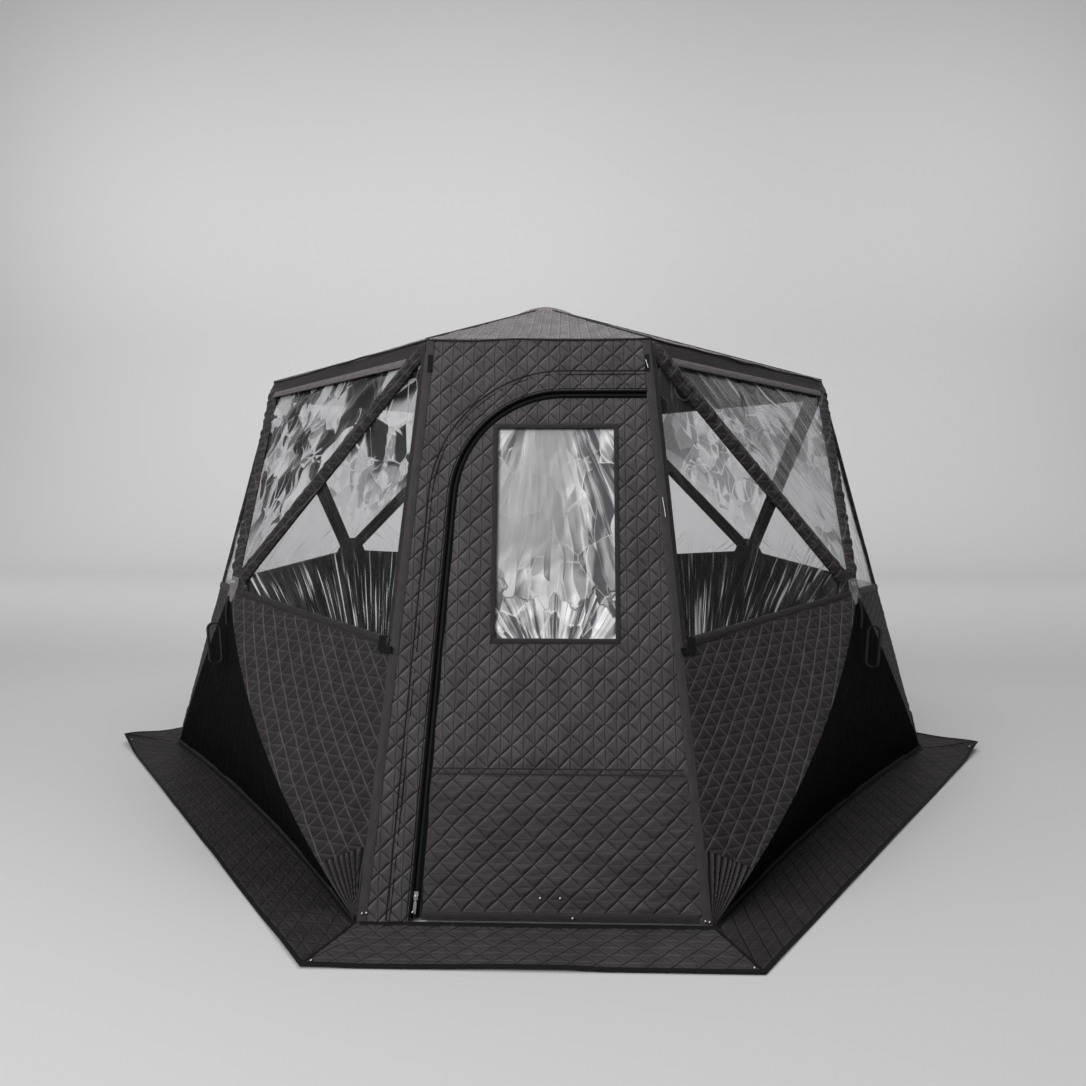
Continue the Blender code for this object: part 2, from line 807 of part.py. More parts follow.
def pull_blade_mesh():
    """Narrow neck from the pull's eye and the wide tab on it, in one outline."""
    neck = pull_half_width - slider_play
    half = pull_width / 2
    start = -(pull_hole_radius + pull_eye_radius) / 2
    shoulder = -pull_neck_length
    outline = ((neck, start), (-neck, start), (-neck, shoulder), (-half, shoulder - half),
               (-half, -pull_length), (half, -pull_length), (half, shoulder - half), (neck, shoulder))
    bm = bmesh.new()
    heights = (-pull_thickness / 2, pull_thickness / 2)
    ends = [[Vector((x, y, height)) for x, y in outline] for height in heights]
    add_slab(bm, [ends[0]], [ends[1]])
    return finish_mesh(bm, "blade")


def slider_mesh():
    """Channel that straddles the coil, drawn across the zip and pulled along it."""
    half = slider_width / 2
    slot = coil_width / 2 + slider_play
    roof = coil_height + slider_play
    top = slider_top
    section = ((-half, 0), (-slot, 0), (-slot, roof), (slot, roof),
               (slot, 0), (half, 0), (half, top), (-half, top))
    bm = bmesh.new()
    reach = slider_length / 2
    ends = [[Vector((x, y, z)) for x, z in section] for y in (-reach, reach)]
    add_slab(bm, [ends[0]], [ends[1]])
    return finish_mesh(bm, "zip_slider")


def box_mesh(width, length, height, centre):
    """Box centred on a point."""
    bm = bmesh.new()
    bmesh.ops.create_cube(bm, size=1)
    sizes = Matrix.Diagonal((width, length, height, 1))
    bmesh.ops.transform(bm, matrix=Matrix.Translation(centre) @ sizes, verts=bm.verts)
    return finish_mesh(bm, "box")


# Roof

roof_rise = apex_height - wall_height
roof_lift = Vector((0, 0, cloth * math.hypot(top_half_depth, roof_rise) / top_half_depth))
roof_apex = Vector((0, 0, apex_height))
roof_hub_in = roof_apex - roof_lift
roof_corner_labels = ("front_right", "right", "back_right", "back_left", "left", "front_left")
roof_facets = []
for side in range(len(top_ring)):
    eaves = (corner_point(side, 1, 0), corner_point(side + 1, 1, 0))
    outer_corners = (eaves[0] + roof_lift, eaves[1] + roof_lift, roof_apex)
    roof_facets.append(Facet(outer_corners, (*eaves, roof_hub_in)))
port_facet = roof_facets[roof_corner_labels.index("back_right")]


def roof_mesh():
    """Six panels sewn into one skin, with the port's opening in the rear one."""
    bm = bmesh.new()
    for facet in roof_facets:
        loops = [facet.flat]
        if facet is port_facet:
            loops.append(circle(port_centre(), port_cut_radius))
        add_slab(bm, [facet.loop(loop, 0) for loop in loops],
                 [facet.loop(loop, cloth) for loop in loops], open_sides=(1, 2))
    return finish_mesh(bm, "roof_skin")


def circle(centre, radius):
    """Counter-clockwise circle as an outline."""
    turn = 2 * math.pi / port_sides
    return [centre + Vector((math.cos(turn * k), math.sin(turn * k))) * radius for k in range(port_sides)]


def port_centre():
    """Centre of the stovepipe port on its roof panel."""
    eaves_middle = (port_facet.flat[0] + port_facet.flat[1]) / 2
    return eaves_middle.lerp(port_facet.flat[2], port_eaves_run / top_half_depth)


def make_port(surfaces):
    """Heat-proof patch with its ring, and the rain lid hinged along its upper edge."""
    facet = port_facet
    centre = port_centre()
    patch_low = seat_gap
    patch_high = patch_low + port_patch_thickness
    ring_low = patch_high + seat_gap
    ring_high = ring_low + port_ring_height
    half = port_patch_half
    square = box_outline(centre.x - half, centre.x + half, centre.y - half, centre.y + half)
    hole = circle(centre, port_hole_radius)
    rim = circle(centre, port_hole_radius + port_ring_width)
    for name, outline, low, high in (("chimney_patch", square, patch_low, patch_high),
                                     ("chimney_ring", rim, ring_low, ring_high)):
        bm = bmesh.new()
        add_slab(bm, [facet.loop(loop, -high) for loop in (outline, hole)],
                 [facet.loop(loop, -low) for loop in (outline, hole)])
        shade(place(name, finish_mesh(bm, name), surfaces["port"]))
    hinge_flat = centre + Vector((0, lid_length / 2))
    hinge_height = patch_high + seat_gap + lid_hinge_radius
    frame = frame_from(facet.lift(hinge_flat, -hinge_height), facet.along, facet.across)
    lid_low = ring_high + seat_gap - hinge_height
    roll = disc_mesh(lid_hinge_radius, 2 * lid_half_width, rod_sides, to_x)
    lid = place("chimney_lid", roll, surfaces["port"], frame)
    plate_middle = Vector((0, -lid_length / 2, lid_low + lid_thickness / 2))
    carve(lid, [box_mesh(2 * lid_half_width, lid_length, lid_thickness, plate_middle)], "UNION")
    shade(lid)
    return lid


# Pull loops and corner tabs

def loop_mesh():
    """Closed band of webbing: two straight legs joined by round ends."""
    outer = (loop_reach - seat_gap) / 2
    middle = seat_gap + outer
    straight = loop_length / 2 - outer
    steps = arc_steps

    def stadium(radius):
        outline = []
        for end in (-1, 1):
            for step in range(steps + 1):
                angle = math.pi * step / steps
                along = end * (straight + radius * math.sin(angle))
                outline.append((along, middle + end * radius * math.cos(angle)))
        return outline

    bm = bmesh.new()
    sides = []
    for across in (-webbing_width / 2, webbing_width / 2):
        rims = (stadium(outer), stadium(outer - webbing))
        sides.append([[Vector((across, y, z)) for y, z in rim] for rim in rims])
    add_slab(bm, sides[0], sides[1])
    return finish_mesh(bm, "pull_loop")


def make_pull_loop(name, wall, surface):
    """One pull loop on the lower facet, under its hub."""
    facet = wall.facets[0]
    hub = facet.flat[2]
    down = ((facet.flat[0] + facet.flat[1]) / 2 - hub).normalized()
    origin = facet.lift(hub + down * (loop_drop + loop_length / 2), 0)
    frame = frame_from(origin, facet.along, facet.across)
    return shade(place(name, loop_mesh(), surface, frame))


def tab_loops(wall, k):
    """Outline of a tab at the sill of a side facet, next to its upright corner."""
    facet = wall.facets[k]
    start, end = facet.flat[0], facet.flat[1]
    sill = start.lerp(end, sill_share) if k == 1 else end.lerp(start, sill_share)
    outline = box_outline(sill.x - tab_length / 2, sill.x + tab_length / 2, corner_seam_width / 2,
                          corner_seam_width / 2 + tab_width)
    return facet.loop(outline, -seat_gap - tab_thickness), facet.loop(outline, -seat_gap)


def make_tab(name, wall, k, surface):
    """One black tab beside the front wall."""
    near, far = tab_loops(wall, k)
    bm = bmesh.new()
    add_slab(bm, [near], [far])
    return place(name, finish_mesh(bm, name), surface)


# Ground skirt

def skirt_mesh():
    """Flat collar on the ground that reaches under the walls."""
    corners = range(len(base_ring))
    outer = [ring_corner(base_ring, index, -skirt_width) for index in corners]
    inner = [ring_corner(base_ring, index, cloth) for index in corners]
    bm = bmesh.new()
    levels = []
    for height in (0, skirt_cloth):
        levels.append([[Vector((p.x, p.y, height)) for p in ring] for ring in (outer, inner)])
    add_slab(bm, levels[0], levels[1])
    return finish_mesh(bm, "skirt")


# The whole tent

hub_wall_sides = {"front_right": 0, "back_right": 1, "back_left": 3, "front_left": 4}
corner_labels = ("front", "side", "back", "back", "side", "front")


def build():
    """Make every piece."""
    clear_scene()
    surfaces = {
        "cloth": material("quilted_cloth", cloth_finish_shares),
        "roof": material("quilted_roof_cloth", roof_finish_shares),
        "skirt": material("quilted_skirt_cloth", skirt_finish_shares),
        "webbing": material("black_webbing", webbing_finish_shares),
        "film": material("clear_film", film_finish_shares),
        "zip": material("zip_tape", zip_finish_shares),
        "rod": material("glass_fibre", rod_finish_shares),
        "nylon": material("moulded_nylon", nylon_finish_shares),
        "steel": material("bright_steel", steel_finish_shares),
        "port": material("heat_proof_cloth", port_finish_shares),
    }
    walls = {name: HubWall(side) for name, side in hub_wall_sides.items()}
    for name, wall in walls.items():
        place("wall_" + name, wall.cloth_mesh("wall_" + name), surfaces["cloth"])
        place("window_film_" + name, wall.film_mesh("window_film_" + name), surfaces["film"])
        make_pull_loop("pull_loop_" + name, wall, surfaces["webbing"])
        rods = wall.rods()
        hub = make_hub("hub_" + name, wall.hub_in, wall.out, rods, wall.facets,
                       wall_hub_radius, wall_pin_circle, surfaces["nylon"])
        for level, corner, line in rods_by_label(wall, rods):
            make_rod("rod_" + name + "_" + level + "_" + corner, line, wall.out, surfaces["rod"], hub)
    place("front_wall", front_wall_mesh(), surfaces["cloth"])
    place("back_wall", back_wall_mesh(), surfaces["cloth"])
    place("skirt", skirt_mesh(), surfaces["skirt"])
    flap_front = -seat_gap - flap_thickness
    flap = ribbon_mesh("storm_flap", -flap_width, 0, flap_front, -seat_gap)
    place("storm_flap", flap, surfaces["cloth"])
    make_door(surfaces)
    make_zip(surfaces)
    make_tab("corner_tab_right", walls["front_right"], 3, surfaces["webbing"])
    make_tab("corner_tab_left", walls["front_left"], 1, surfaces["webbing"])
    place("roof_skin", roof_mesh(), surfaces["roof"])
    make_port(surfaces)
    out = Vector((0, 0, 1))
    lines = roof_rods(out)
    hub = make_hub("hub_roof", roof_hub_in, out, lines, roof_facets,
                   roof_hub_radius, roof_pin_circle, surfaces["nylon"])
    for name, *line in lines:
        make_rod("rod_roof_" + name, line, out, surfaces["rod"], hub)


def rods_by_label(wall, rods):
    """Level, corner label and line of each rod of a wall."""
    near = corner_labels[wall.index]
    far = corner_labels[wall.index + 1]
    labels = (("lower", near), ("lower", far), ("upper", far), ("upper", near))
    return [(level, corner, line[1:]) for (level, corner), line in zip(labels, rods)]


def roof_rods(out):
    """Name, pin point, direction and tip length of the six roof rods."""
    lines = []
    for index, name in enumerate(roof_corner_labels):
        faces = (roof_facets[index - 1], roof_facets[index])
        corner = corner_point(index, 1, 0)
        lines.append((name, *rod_line(roof_hub_in, corner, out, faces, roof_pin_circle, roof_tip_reach)))
    return lines


build()
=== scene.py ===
# %% [markdown]
# A six-sided sauna tent: quilted cloth stretched over folding rods, with clear
# film windows, a zipped door and a skirt on the ground. The imported model gives
# the frame, and some pieces made here ride on its bodies.

# %% Load the fixed frame
import math

import bpy
import numpy as np
from mathutils import Euler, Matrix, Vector
from mathutils.geometry import delaunay_2d_cdt


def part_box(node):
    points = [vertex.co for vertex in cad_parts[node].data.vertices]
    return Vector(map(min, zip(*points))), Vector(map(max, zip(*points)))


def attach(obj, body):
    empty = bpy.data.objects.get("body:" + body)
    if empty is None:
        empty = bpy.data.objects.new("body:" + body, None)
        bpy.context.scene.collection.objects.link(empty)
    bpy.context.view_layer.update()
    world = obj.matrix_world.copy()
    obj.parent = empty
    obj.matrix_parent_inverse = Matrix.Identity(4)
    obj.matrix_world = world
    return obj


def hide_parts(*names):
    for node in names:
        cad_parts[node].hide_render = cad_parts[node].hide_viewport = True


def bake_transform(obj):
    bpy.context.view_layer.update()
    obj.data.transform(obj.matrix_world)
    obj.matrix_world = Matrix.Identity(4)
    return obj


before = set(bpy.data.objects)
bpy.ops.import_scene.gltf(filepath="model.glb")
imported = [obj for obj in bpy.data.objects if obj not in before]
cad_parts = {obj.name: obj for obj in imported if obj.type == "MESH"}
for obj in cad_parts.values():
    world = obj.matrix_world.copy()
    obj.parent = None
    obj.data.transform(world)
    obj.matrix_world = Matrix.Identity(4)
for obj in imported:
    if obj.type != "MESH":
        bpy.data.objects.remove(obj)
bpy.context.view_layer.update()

# %% [markdown]
# The camera stands where the photographer stood: at the height of a chest, a
# little over two metres in front of the door, with a wide lens. Its place came
# from fitting the tent's corners, so the render and the picture overlay.

# %% Camera
scene = bpy.context.scene
camera_data = bpy.data.cameras.new("camera")
camera_data.sensor_width = 36
camera_data.lens = 25.71
camera = bpy.data.objects.new("camera", camera_data)
camera.location = (0.07996, -3.67494, 1.28242)
camera.rotation_euler = Euler((math.radians(85.468), 0, math.radians(1.426)))
scene.collection.objects.link(camera)
scene.camera = camera
scene.view_settings.view_transform = "Standard"
print("lens", camera_data.lens, "mm")

# %% [markdown]
# Materials are node trees. Two helpers keep them short: one turns the hex code
# of a colour on a screen into the linear light that a renderer works in, and one
# adds a node with its options and whatever feeds its sockets.

# %% Colour and node helpers
def linear(code):
    """Linear colour of a hex code: each share is divided by 12.92 when dark, else raised to 2.4."""
    shares = np.array([int(code[i:i + 2], 16) / 255 for i in (1, 3, 5)])
    bright = ((shares + 0.055) / 1.055) ** 2.4
    return (*np.where(shares <= 0.04045, shares / 12.92, bright).tolist(), 1.0)


def add(tree, kind, inputs=(), **options):
    """One node: options are its settings, inputs its values, sockets, or nodes for their first output.

    Inputs are a list for the first sockets, or a dictionary by socket.
    """
    node = tree.nodes.new("ShaderNode" + kind)
    for name, value in options.items():
        setattr(node, name, value)
    for name, value in (inputs if isinstance(inputs, dict) else dict(enumerate(inputs))).items():
        if isinstance(value, bpy.types.Node):
            value = value.outputs[0]
        if isinstance(value, bpy.types.NodeSocket):
            tree.links.new(value, node.inputs[name])
        else:
            node.inputs[name].default_value = value
    return node


def new_material(name):
    """An empty material and its node tree."""
    made = bpy.data.materials.new(name)
    made.use_nodes = True
    made.node_tree.nodes.clear()
    return made, made.node_tree


def dress(thing, made):
    """Give an object one material in every slot it has."""
    if not thing.data.materials:
        thing.data.materials.append(made)
    for index in range(len(thing.data.materials)):
        thing.data.materials[index] = made


print("charcoal in linear light", [round(x, 3) for x in linear("#474445")])

# %% [markdown]
# The cloth is a shell of woven polyester, a thin wadding and a lining, sewn
# together in lines. Upright lines stand 35 mm apart, and two slanting families
# cross on them, so the cloth is covered in triangles. The lines that climb to the
# right were sewn last and pull deepest, and the ones that fall are faint. Below
# the door's double seam the straight lines lie level. The same formula drives the
# bumps of the mesh and the stitched lines of the material. Pattern coordinates
# are metres on the cloth, kept in each piece's UV map.

# %% The sewn pattern as numbers
wide, high = 0.070, 0.067      # of one diamond
dome_reach = 0.0135            # from a sewn line to the middle of a puff


def line_families(looks, level=False):
    """Rising, falling and straight lines: cycles a metre across and up, gap, depth, painted groove shade,
    painted rim highlight, side.

    The gap is one over the length of the two cycle counts. The painted highlight of a rim
    stands at a distance to one side of the line.
    """
    counts = [(-1 / wide, 1 / high), (1 / wide, 1 / high), (0.0, 2 / high) if level else (2 / wide, 0.0)]
    return [(*pair, 1 / math.hypot(*pair), *look) for pair, look in zip(counts, looks)]


def puff(x, y, families):
    """Height from 0 to 1 between sewn lines.

    A family's phase, folded to its nearest whole number, is the distance to its
    nearest line. Its dome is 1 - strength (1 - distance / reach)^2, and the lowest of
    the domes is the cloth.
    """
    lowest = np.ones(np.shape(x))
    for across, up, gap, strength, *_ in families:
        phase = x * across + y * up
        share = np.minimum(np.abs(phase - np.round(phase)) * gap / dome_reach, 1)
        lowest = np.minimum(lowest, 1 - strength * (1 - share) ** 2)
    return lowest


def soft_step(t):
    """Smooth step of a share: t^2 (3 - 2 t)."""
    return t * t * (3 - 2 * t)


def ease(value, low, high):
    """Smooth step from 0 at low to 1 at high."""
    return soft_step(np.clip((value - low) / (high - low), 0, 1))


def noise(x, y, size, seed):
    """Smooth random height from -1 to 1: random values on a square lattice, blended by smooth steps."""
    table = np.random.default_rng(seed).uniform(-1, 1, (61, 61))
    column, row = np.floor(x / size), np.floor(y / size)
    fx, fy = soft_step(x / size - column), soft_step(y / size - row)
    i, j = column.astype(int) % 61, row.astype(int) % 61
    i1, j1 = (i + 1) % 61, (j + 1) % 61
    low = table[i, j] * (1 - fx) + table[i1, j] * fx
    high = table[i, j1] * (1 - fx) + table[i1, j1] * fx
    return low * (1 - fy) + high * fy


# After the depth come the painted groove shade, the painted rim highlight, and the rim's side in metres.
triangles = line_families([(0.9, 0.80, 0.42, -0.0036), (0.70, 0.66, 0.12, -0.0036),
                           (0.70, 0.64, 0.45, -0.0038)])
diamonds = line_families([(0.9, 0.85, 0.35, -0.0036), (0.65, 0.62, 0.05, -0.0036),
                          (0.45, 0.38, 0.40, 0.0038)], True)
slanted = line_families([(0.8, 0.1, 2.3, 0.0), (0.5, 0.0, 1.3, 0.0), (0.6, 0.0, 0.8, 0.0)], True)
print("slanting lines are", round(triangles[0][2] * 1000, 1), "mm apart")

# %% [markdown]
# Quilted polyester: charcoal, half matt, with a soft sheen from its weave. The
# groove of each seam is painted darker, as painted shade, and one of its rims is
# painted lighter, as a painted highlight. The walls beside the door are sewn a
# quarter closer, and there the lines carry strong painted highlights where light
# would slant along their seams. A bump gives a crisp edge that the mesh is too
# coarse for, and noise gives clouds and wrinkles.

# %% Quilted cloth
smooth = {"interpolation_type": "SMOOTHSTEP"}


def quilted_cloth(name, colour, groove_shade_colour, families, wrinkle=(1.6, 0.9), roughness=0.62, shine=0.13,
                  sheen=0.03):
    """Cloth with stitched grooves: each family's line distance makes a dip, painted dark as shade, a rim
    painted light as a highlight, and lets the puff down.
    """
    made, tree = new_material(name)
    place = add(tree, "UVMap", uv_map="cloth").outputs["UV"]
    wobble = add(tree, "TexNoise", {"Vector": place, "Scale": 9.0, "Detail": 2.0}, normalize=False)
    place_moved = add(tree, "VectorMath",
                      [wobble.outputs["Color"], (0.0034, 0.0034, 0), place],
                      operation="MULTIPLY_ADD")
    dip, swell, rim_highlight_mask = 0.0, 1.0, 0.0
    for across, up, gap, strength, groove_shade_amount, rim_highlight_amount, side in families:
        phase = add(tree, "VectorMath", [place_moved, (across, up, 0)], operation="DOT_PRODUCT")
        near = add(tree, "Math", [phase.outputs["Value"], 0.5, -0.5], operation="WRAP")
        signed = add(tree, "Math", [near, gap], operation="MULTIPLY")
        metres = add(tree, "Math", [signed], operation="ABSOLUTE")
        # painted shade: the groove is darkened near the sewn line
        groove_shade_mask = add(tree, "MapRange", {"Value": metres, "From Min": 0.0003, "From Max": 0.0034,
                                      "To Min": groove_shade_amount, "To Max": 0.0})
        rise = add(tree, "MapRange", {"Value": metres, "From Min": 0.0, "From Max": 0.0075,
                                      "To Min": 1 - strength, "To Max": 1.0},
                   **smooth)
        # painted highlight: one rim beside the sewn line is lightened
        away = add(tree, "Math", [signed, side], operation="SUBTRACT")
        away = add(tree, "Math", [away], operation="ABSOLUTE")
        rim = add(tree, "MapRange", {"Value": away, "From Min": 0.0008, "From Max": 0.0036,
                                     "To Min": rim_highlight_amount, "To Max": 0.0})
        dip = add(tree, "Math", [dip, groove_shade_mask], operation="MAXIMUM")
        swell = add(tree, "Math", [swell, rise], operation="MINIMUM")
        rim_highlight_mask = add(tree, "Math", [rim_highlight_mask, rim], operation="MAXIMUM")
    pulled = add(tree, "Mapping", {"Vector": place, "Scale": (*wrinkle, 1.0)})
    crease = add(tree, "TexNoise", {"Vector": pulled, "Scale": 42.0, "Detail": 6.0, "Roughness": 0.7})
    weave = add(tree, "TexNoise", {"Vector": place, "Scale": 900.0, "Detail": 1.0})
    height = add(tree, "Math", [swell, 0.0026], operation="MULTIPLY")
    for texture, depth in ((crease, 0.0046), (weave, 0.00012), (dip, -0.0012)):
        height = add(tree, "Math", [texture, depth, height], operation="MULTIPLY_ADD")
    bump = add(tree, "Bump", {"Height": height, "Distance": 1.0, "Strength": 1.0})
    clouds = add(tree, "TexNoise", {"Vector": pulled, "Scale": 7.0, "Detail": 5.0})
    tone = add(tree, "MapRange", {"Value": clouds, "From Min": 0.3, "From Max": 0.7,
                                  "To Min": 0.78, "To Max": 1.22})
    # the painted highlight lifts the base colour, and the painted groove shade is mixed in below
    lift = add(tree, "Math", [rim_highlight_mask, 1.0], operation="ADD")
    tone = add(tree, "Math", [tone, lift], operation="MULTIPLY")
    groove_shade_mask = add(tree, "MapRange", {"Value": dip, "From Min": 0.35, "From Max": 0.75})
    base = add(tree, "VectorMath", {0: linear(colour)[:3], "Scale": tone}, operation="SCALE")
    mixed = add(tree, "Mix", {"Factor": groove_shade_mask, "A": base, "B": linear(groove_shade_colour)}, data_type="RGBA")
    shader = add(tree, "BsdfPrincipled", {
        "Base Color": mixed.outputs["Result"], "Roughness": roughness, "IOR": 1.5,
        "Specular IOR Level": shine, "Sheen Weight": sheen, "Sheen Roughness": 0.4,
        "Normal": bump})
    add(tree, "OutputMaterial", {"Surface": shader})
    return made


wall_cloth = quilted_cloth("quilted_polyester_charcoal", "#545052", "#1A1819", triangles, (2.4, 0.7))
side_cloth = quilted_cloth("quilted_polyester_hub_walls", "#322F30", "#1A1819", slanted, (2.4, 0.7))
door_cloth = quilted_cloth("quilted_polyester_door_foot", "#4A4648", "#1A1819", diamonds, (0.7, 2.4))
# The roof is the same polyester painted lighter: painted light from the top.
roof_painted_light_cloth = quilted_cloth("quilted_polyester_roof", "#7B7779", "#232021", triangles, (2.4, 0.7))
sleeve_cloth = quilted_cloth("quilted_polyester_sleeves", "#302D2E", "#121011", slanted)
skirt_cloth_made = quilted_cloth("quilted_polyester_skirt", "#413E3F", "#0F0E0E", diamonds)
# The four skirt lengths under the hub walls are painted darker: painted shade from the walls above.
skirt_side_painted_shade_cloth = quilted_cloth("quilted_polyester_skirt_sides", "#2F2C2D", "#060606", diamonds)
# The lower hub-wall panels are the same polyester painted near black: painted shade.
lower_painted_shade_cloth = quilted_cloth("quilted_polyester_black", "#141213", "#080808", triangles,
                            roughness=0.85, shine=0.03, sheen=0.0)
print("cloth materials", [made.name for made in bpy.data.materials if made.name.startswith("quilted")])

# %% [markdown]
# The other materials of the tent. Plain cloth is the same polyester without
# quilting, gathered in small wrinkles. Webbing is woven in ribs across its
# length. Both read the same map of metres on the cloth. Moulded and drawn parts
# take their grain from their own place.

# %% Plain cloth, webbing and moulded parts
def plain_cloth(name, colour, ripple, depth):
    """Unquilted cloth: noise stretched along the piece gives pulled wrinkles, painted darker in their hollows
    and lighter on their crests as painted shade and highlight; fine noise gives the weave.
    """
    made, tree = new_material(name)
    place = add(tree, "UVMap", uv_map="cloth").outputs["UV"]
    stretched = add(tree, "Mapping", {"Vector": place, "Scale": (1.0, 3.2, 1.0)})
    wrinkle = add(tree, "TexNoise", {"Vector": stretched, "Scale": ripple, "Detail": 4.0})
    weave = add(tree, "TexNoise", {"Vector": place, "Scale": 900.0, "Detail": 1.0})
    height = add(tree, "Math", [wrinkle, depth], operation="MULTIPLY")
    height = add(tree, "Math", [weave, 0.00012, height], operation="MULTIPLY_ADD")
    bump = add(tree, "Bump", {"Height": height, "Distance": 1.0, "Strength": 1.0})
    # painted shade and highlight: the colour follows the wrinkles' height
    tone = add(tree, "MapRange", {"Value": wrinkle, "From Min": 0.3, "From Max": 0.7,
                                  "To Min": 0.84, "To Max": 1.16})
    base = add(tree, "VectorMath", {0: linear(colour)[:3], "Scale": tone}, operation="SCALE")
    shader = add(tree, "BsdfPrincipled", {
        "Base Color": base, "Roughness": 0.66, "IOR": 1.5, "Specular IOR Level": 0.13,
        "Sheen Weight": 0.03, "Sheen Roughness": 0.4, "Normal": bump})
    add(tree, "OutputMaterial", {"Surface": shader})
    return made


def ribbed(name, colour, pitch, depth, roughness, furrow_shade=0.7):
    """Ribs across the length: a sine wave of the length in pitches, as bump, and as painted shade in the
    furrow and a painted highlight on the rib.
    """
    made, tree = new_material(name)
    place = add(tree, "UVMap", uv_map="cloth").outputs["UV"]
    split = add(tree, "SeparateXYZ", [place])
    turns = add(tree, "Math", [split.outputs["X"], 2 * math.pi / pitch], operation="MULTIPLY")
    wave = add(tree, "Math", [turns], operation="SINE")
    grain = add(tree, "TexNoise", {"Vector": place, "Scale": 160.0, "Detail": 3.0})
    mixed = add(tree, "Math", [wave, 0.5, grain], operation="MULTIPLY_ADD")
    bump = add(tree, "Bump", {"Height": mixed, "Distance": depth, "Strength": 1.0})
    tone = add(tree, "MapRange", {"Value": mixed, "From Min": -0.2, "From Max": 1.2,
                                  "To Min": furrow_shade, "To Max": 1.2})
    base = add(tree, "VectorMath", {0: linear(colour)[:3], "Scale": tone}, operation="SCALE")
    shader = add(tree, "BsdfPrincipled", {
        "Base Color": base, "Roughness": roughness, "Specular IOR Level": 0.2,
        "Normal": bump})
    add(tree, "OutputMaterial", {"Surface": shader})
    return made


def moulded(name, colour, roughness, grain, metallic=0.0, spread=0.12):
    """Moulded or drawn part: noise of its own place varies roughness and gives a fine grain."""
    made, tree = new_material(name)
    place = add(tree, "TexCoord").outputs["Object"]
    noise_map = add(tree, "TexNoise", {"Vector": place, "Scale": grain, "Detail": 4.0})
    rough = add(tree, "MapRange", {"Value": noise_map, "From Min": 0.3, "From Max": 0.7,
                                   "To Min": roughness - spread, "To Max": roughness + spread})
    bump = add(tree, "Bump", {"Height": noise_map, "Distance": 0.0002, "Strength": 1.0})
    shader = add(tree, "BsdfPrincipled", {
        "Base Color": linear(colour), "Roughness": rough, "Metallic": metallic,
        "Normal": bump})
    add(tree, "OutputMaterial", {"Surface": shader})
    return made


band_cloth = plain_cloth("plain_polyester_bands", "#343132", 34.0, 0.0022)
corner_cloth = plain_cloth("plain_polyester_corners", "#444041", 22.0, 0.0026)
# The valance hem is painted lighter: a painted highlight along its fold.
hem_painted_highlight_cloth = plain_cloth("plain_polyester_hem", "#6B6667", 26.0, 0.0040)
# The hub patches are painted light grey: painted sheen.
patch_painted_sheen_cloth = plain_cloth("coated_polyester_patches", "#787476", 30.0, 0.0016)
# The pleats are painted darker in their troughs and lighter on their crests: painted shade and painted
# highlight.
gusset_cloth = ribbed("pleated_polyester", "#474344", 1.0, 0.0006, 0.7, -0.10)
piping_cloth = plain_cloth("piped_edge", "#1B191A", 60.0, 0.0004)
webbing = ribbed("woven_webbing_black", "#0D0D0D", 0.0016, 0.0004, 0.62)
# The zip tape and teeth are black, darkened further as painted shade under the storm flap.
zip_weave_black_and_shade = ribbed("zip_tape_weave", "#070707", 0.0009, 0.0002, 0.9)
thread = ribbed("sewing_thread", "#5B5759", 0.0008, 0.0002, 0.55)
nylon = moulded("moulded_nylon_black", "#1C1C1D", 0.45, 180.0)
zip_nylon_black_and_shade = moulded("zip_teeth_nylon", "#0B0B0B", 0.8, 180.0, spread=0.05)
rod_fibre = moulded("glass_fibre_rod", "#202022", 0.38, 90.0)
rubber = moulded("rubber_tip", "#121212", 0.7, 140.0, spread=0.05)
steel = moulded("nickel_plated_steel", "#B4B3B1", 0.30, 220.0, metallic=1.0, spread=0.06)
heat_cloth = ribbed("heat_proof_glass_cloth", "#8E8E90", 0.0022, 0.0004, 0.58)
print("materials", len(bpy.data.materials))
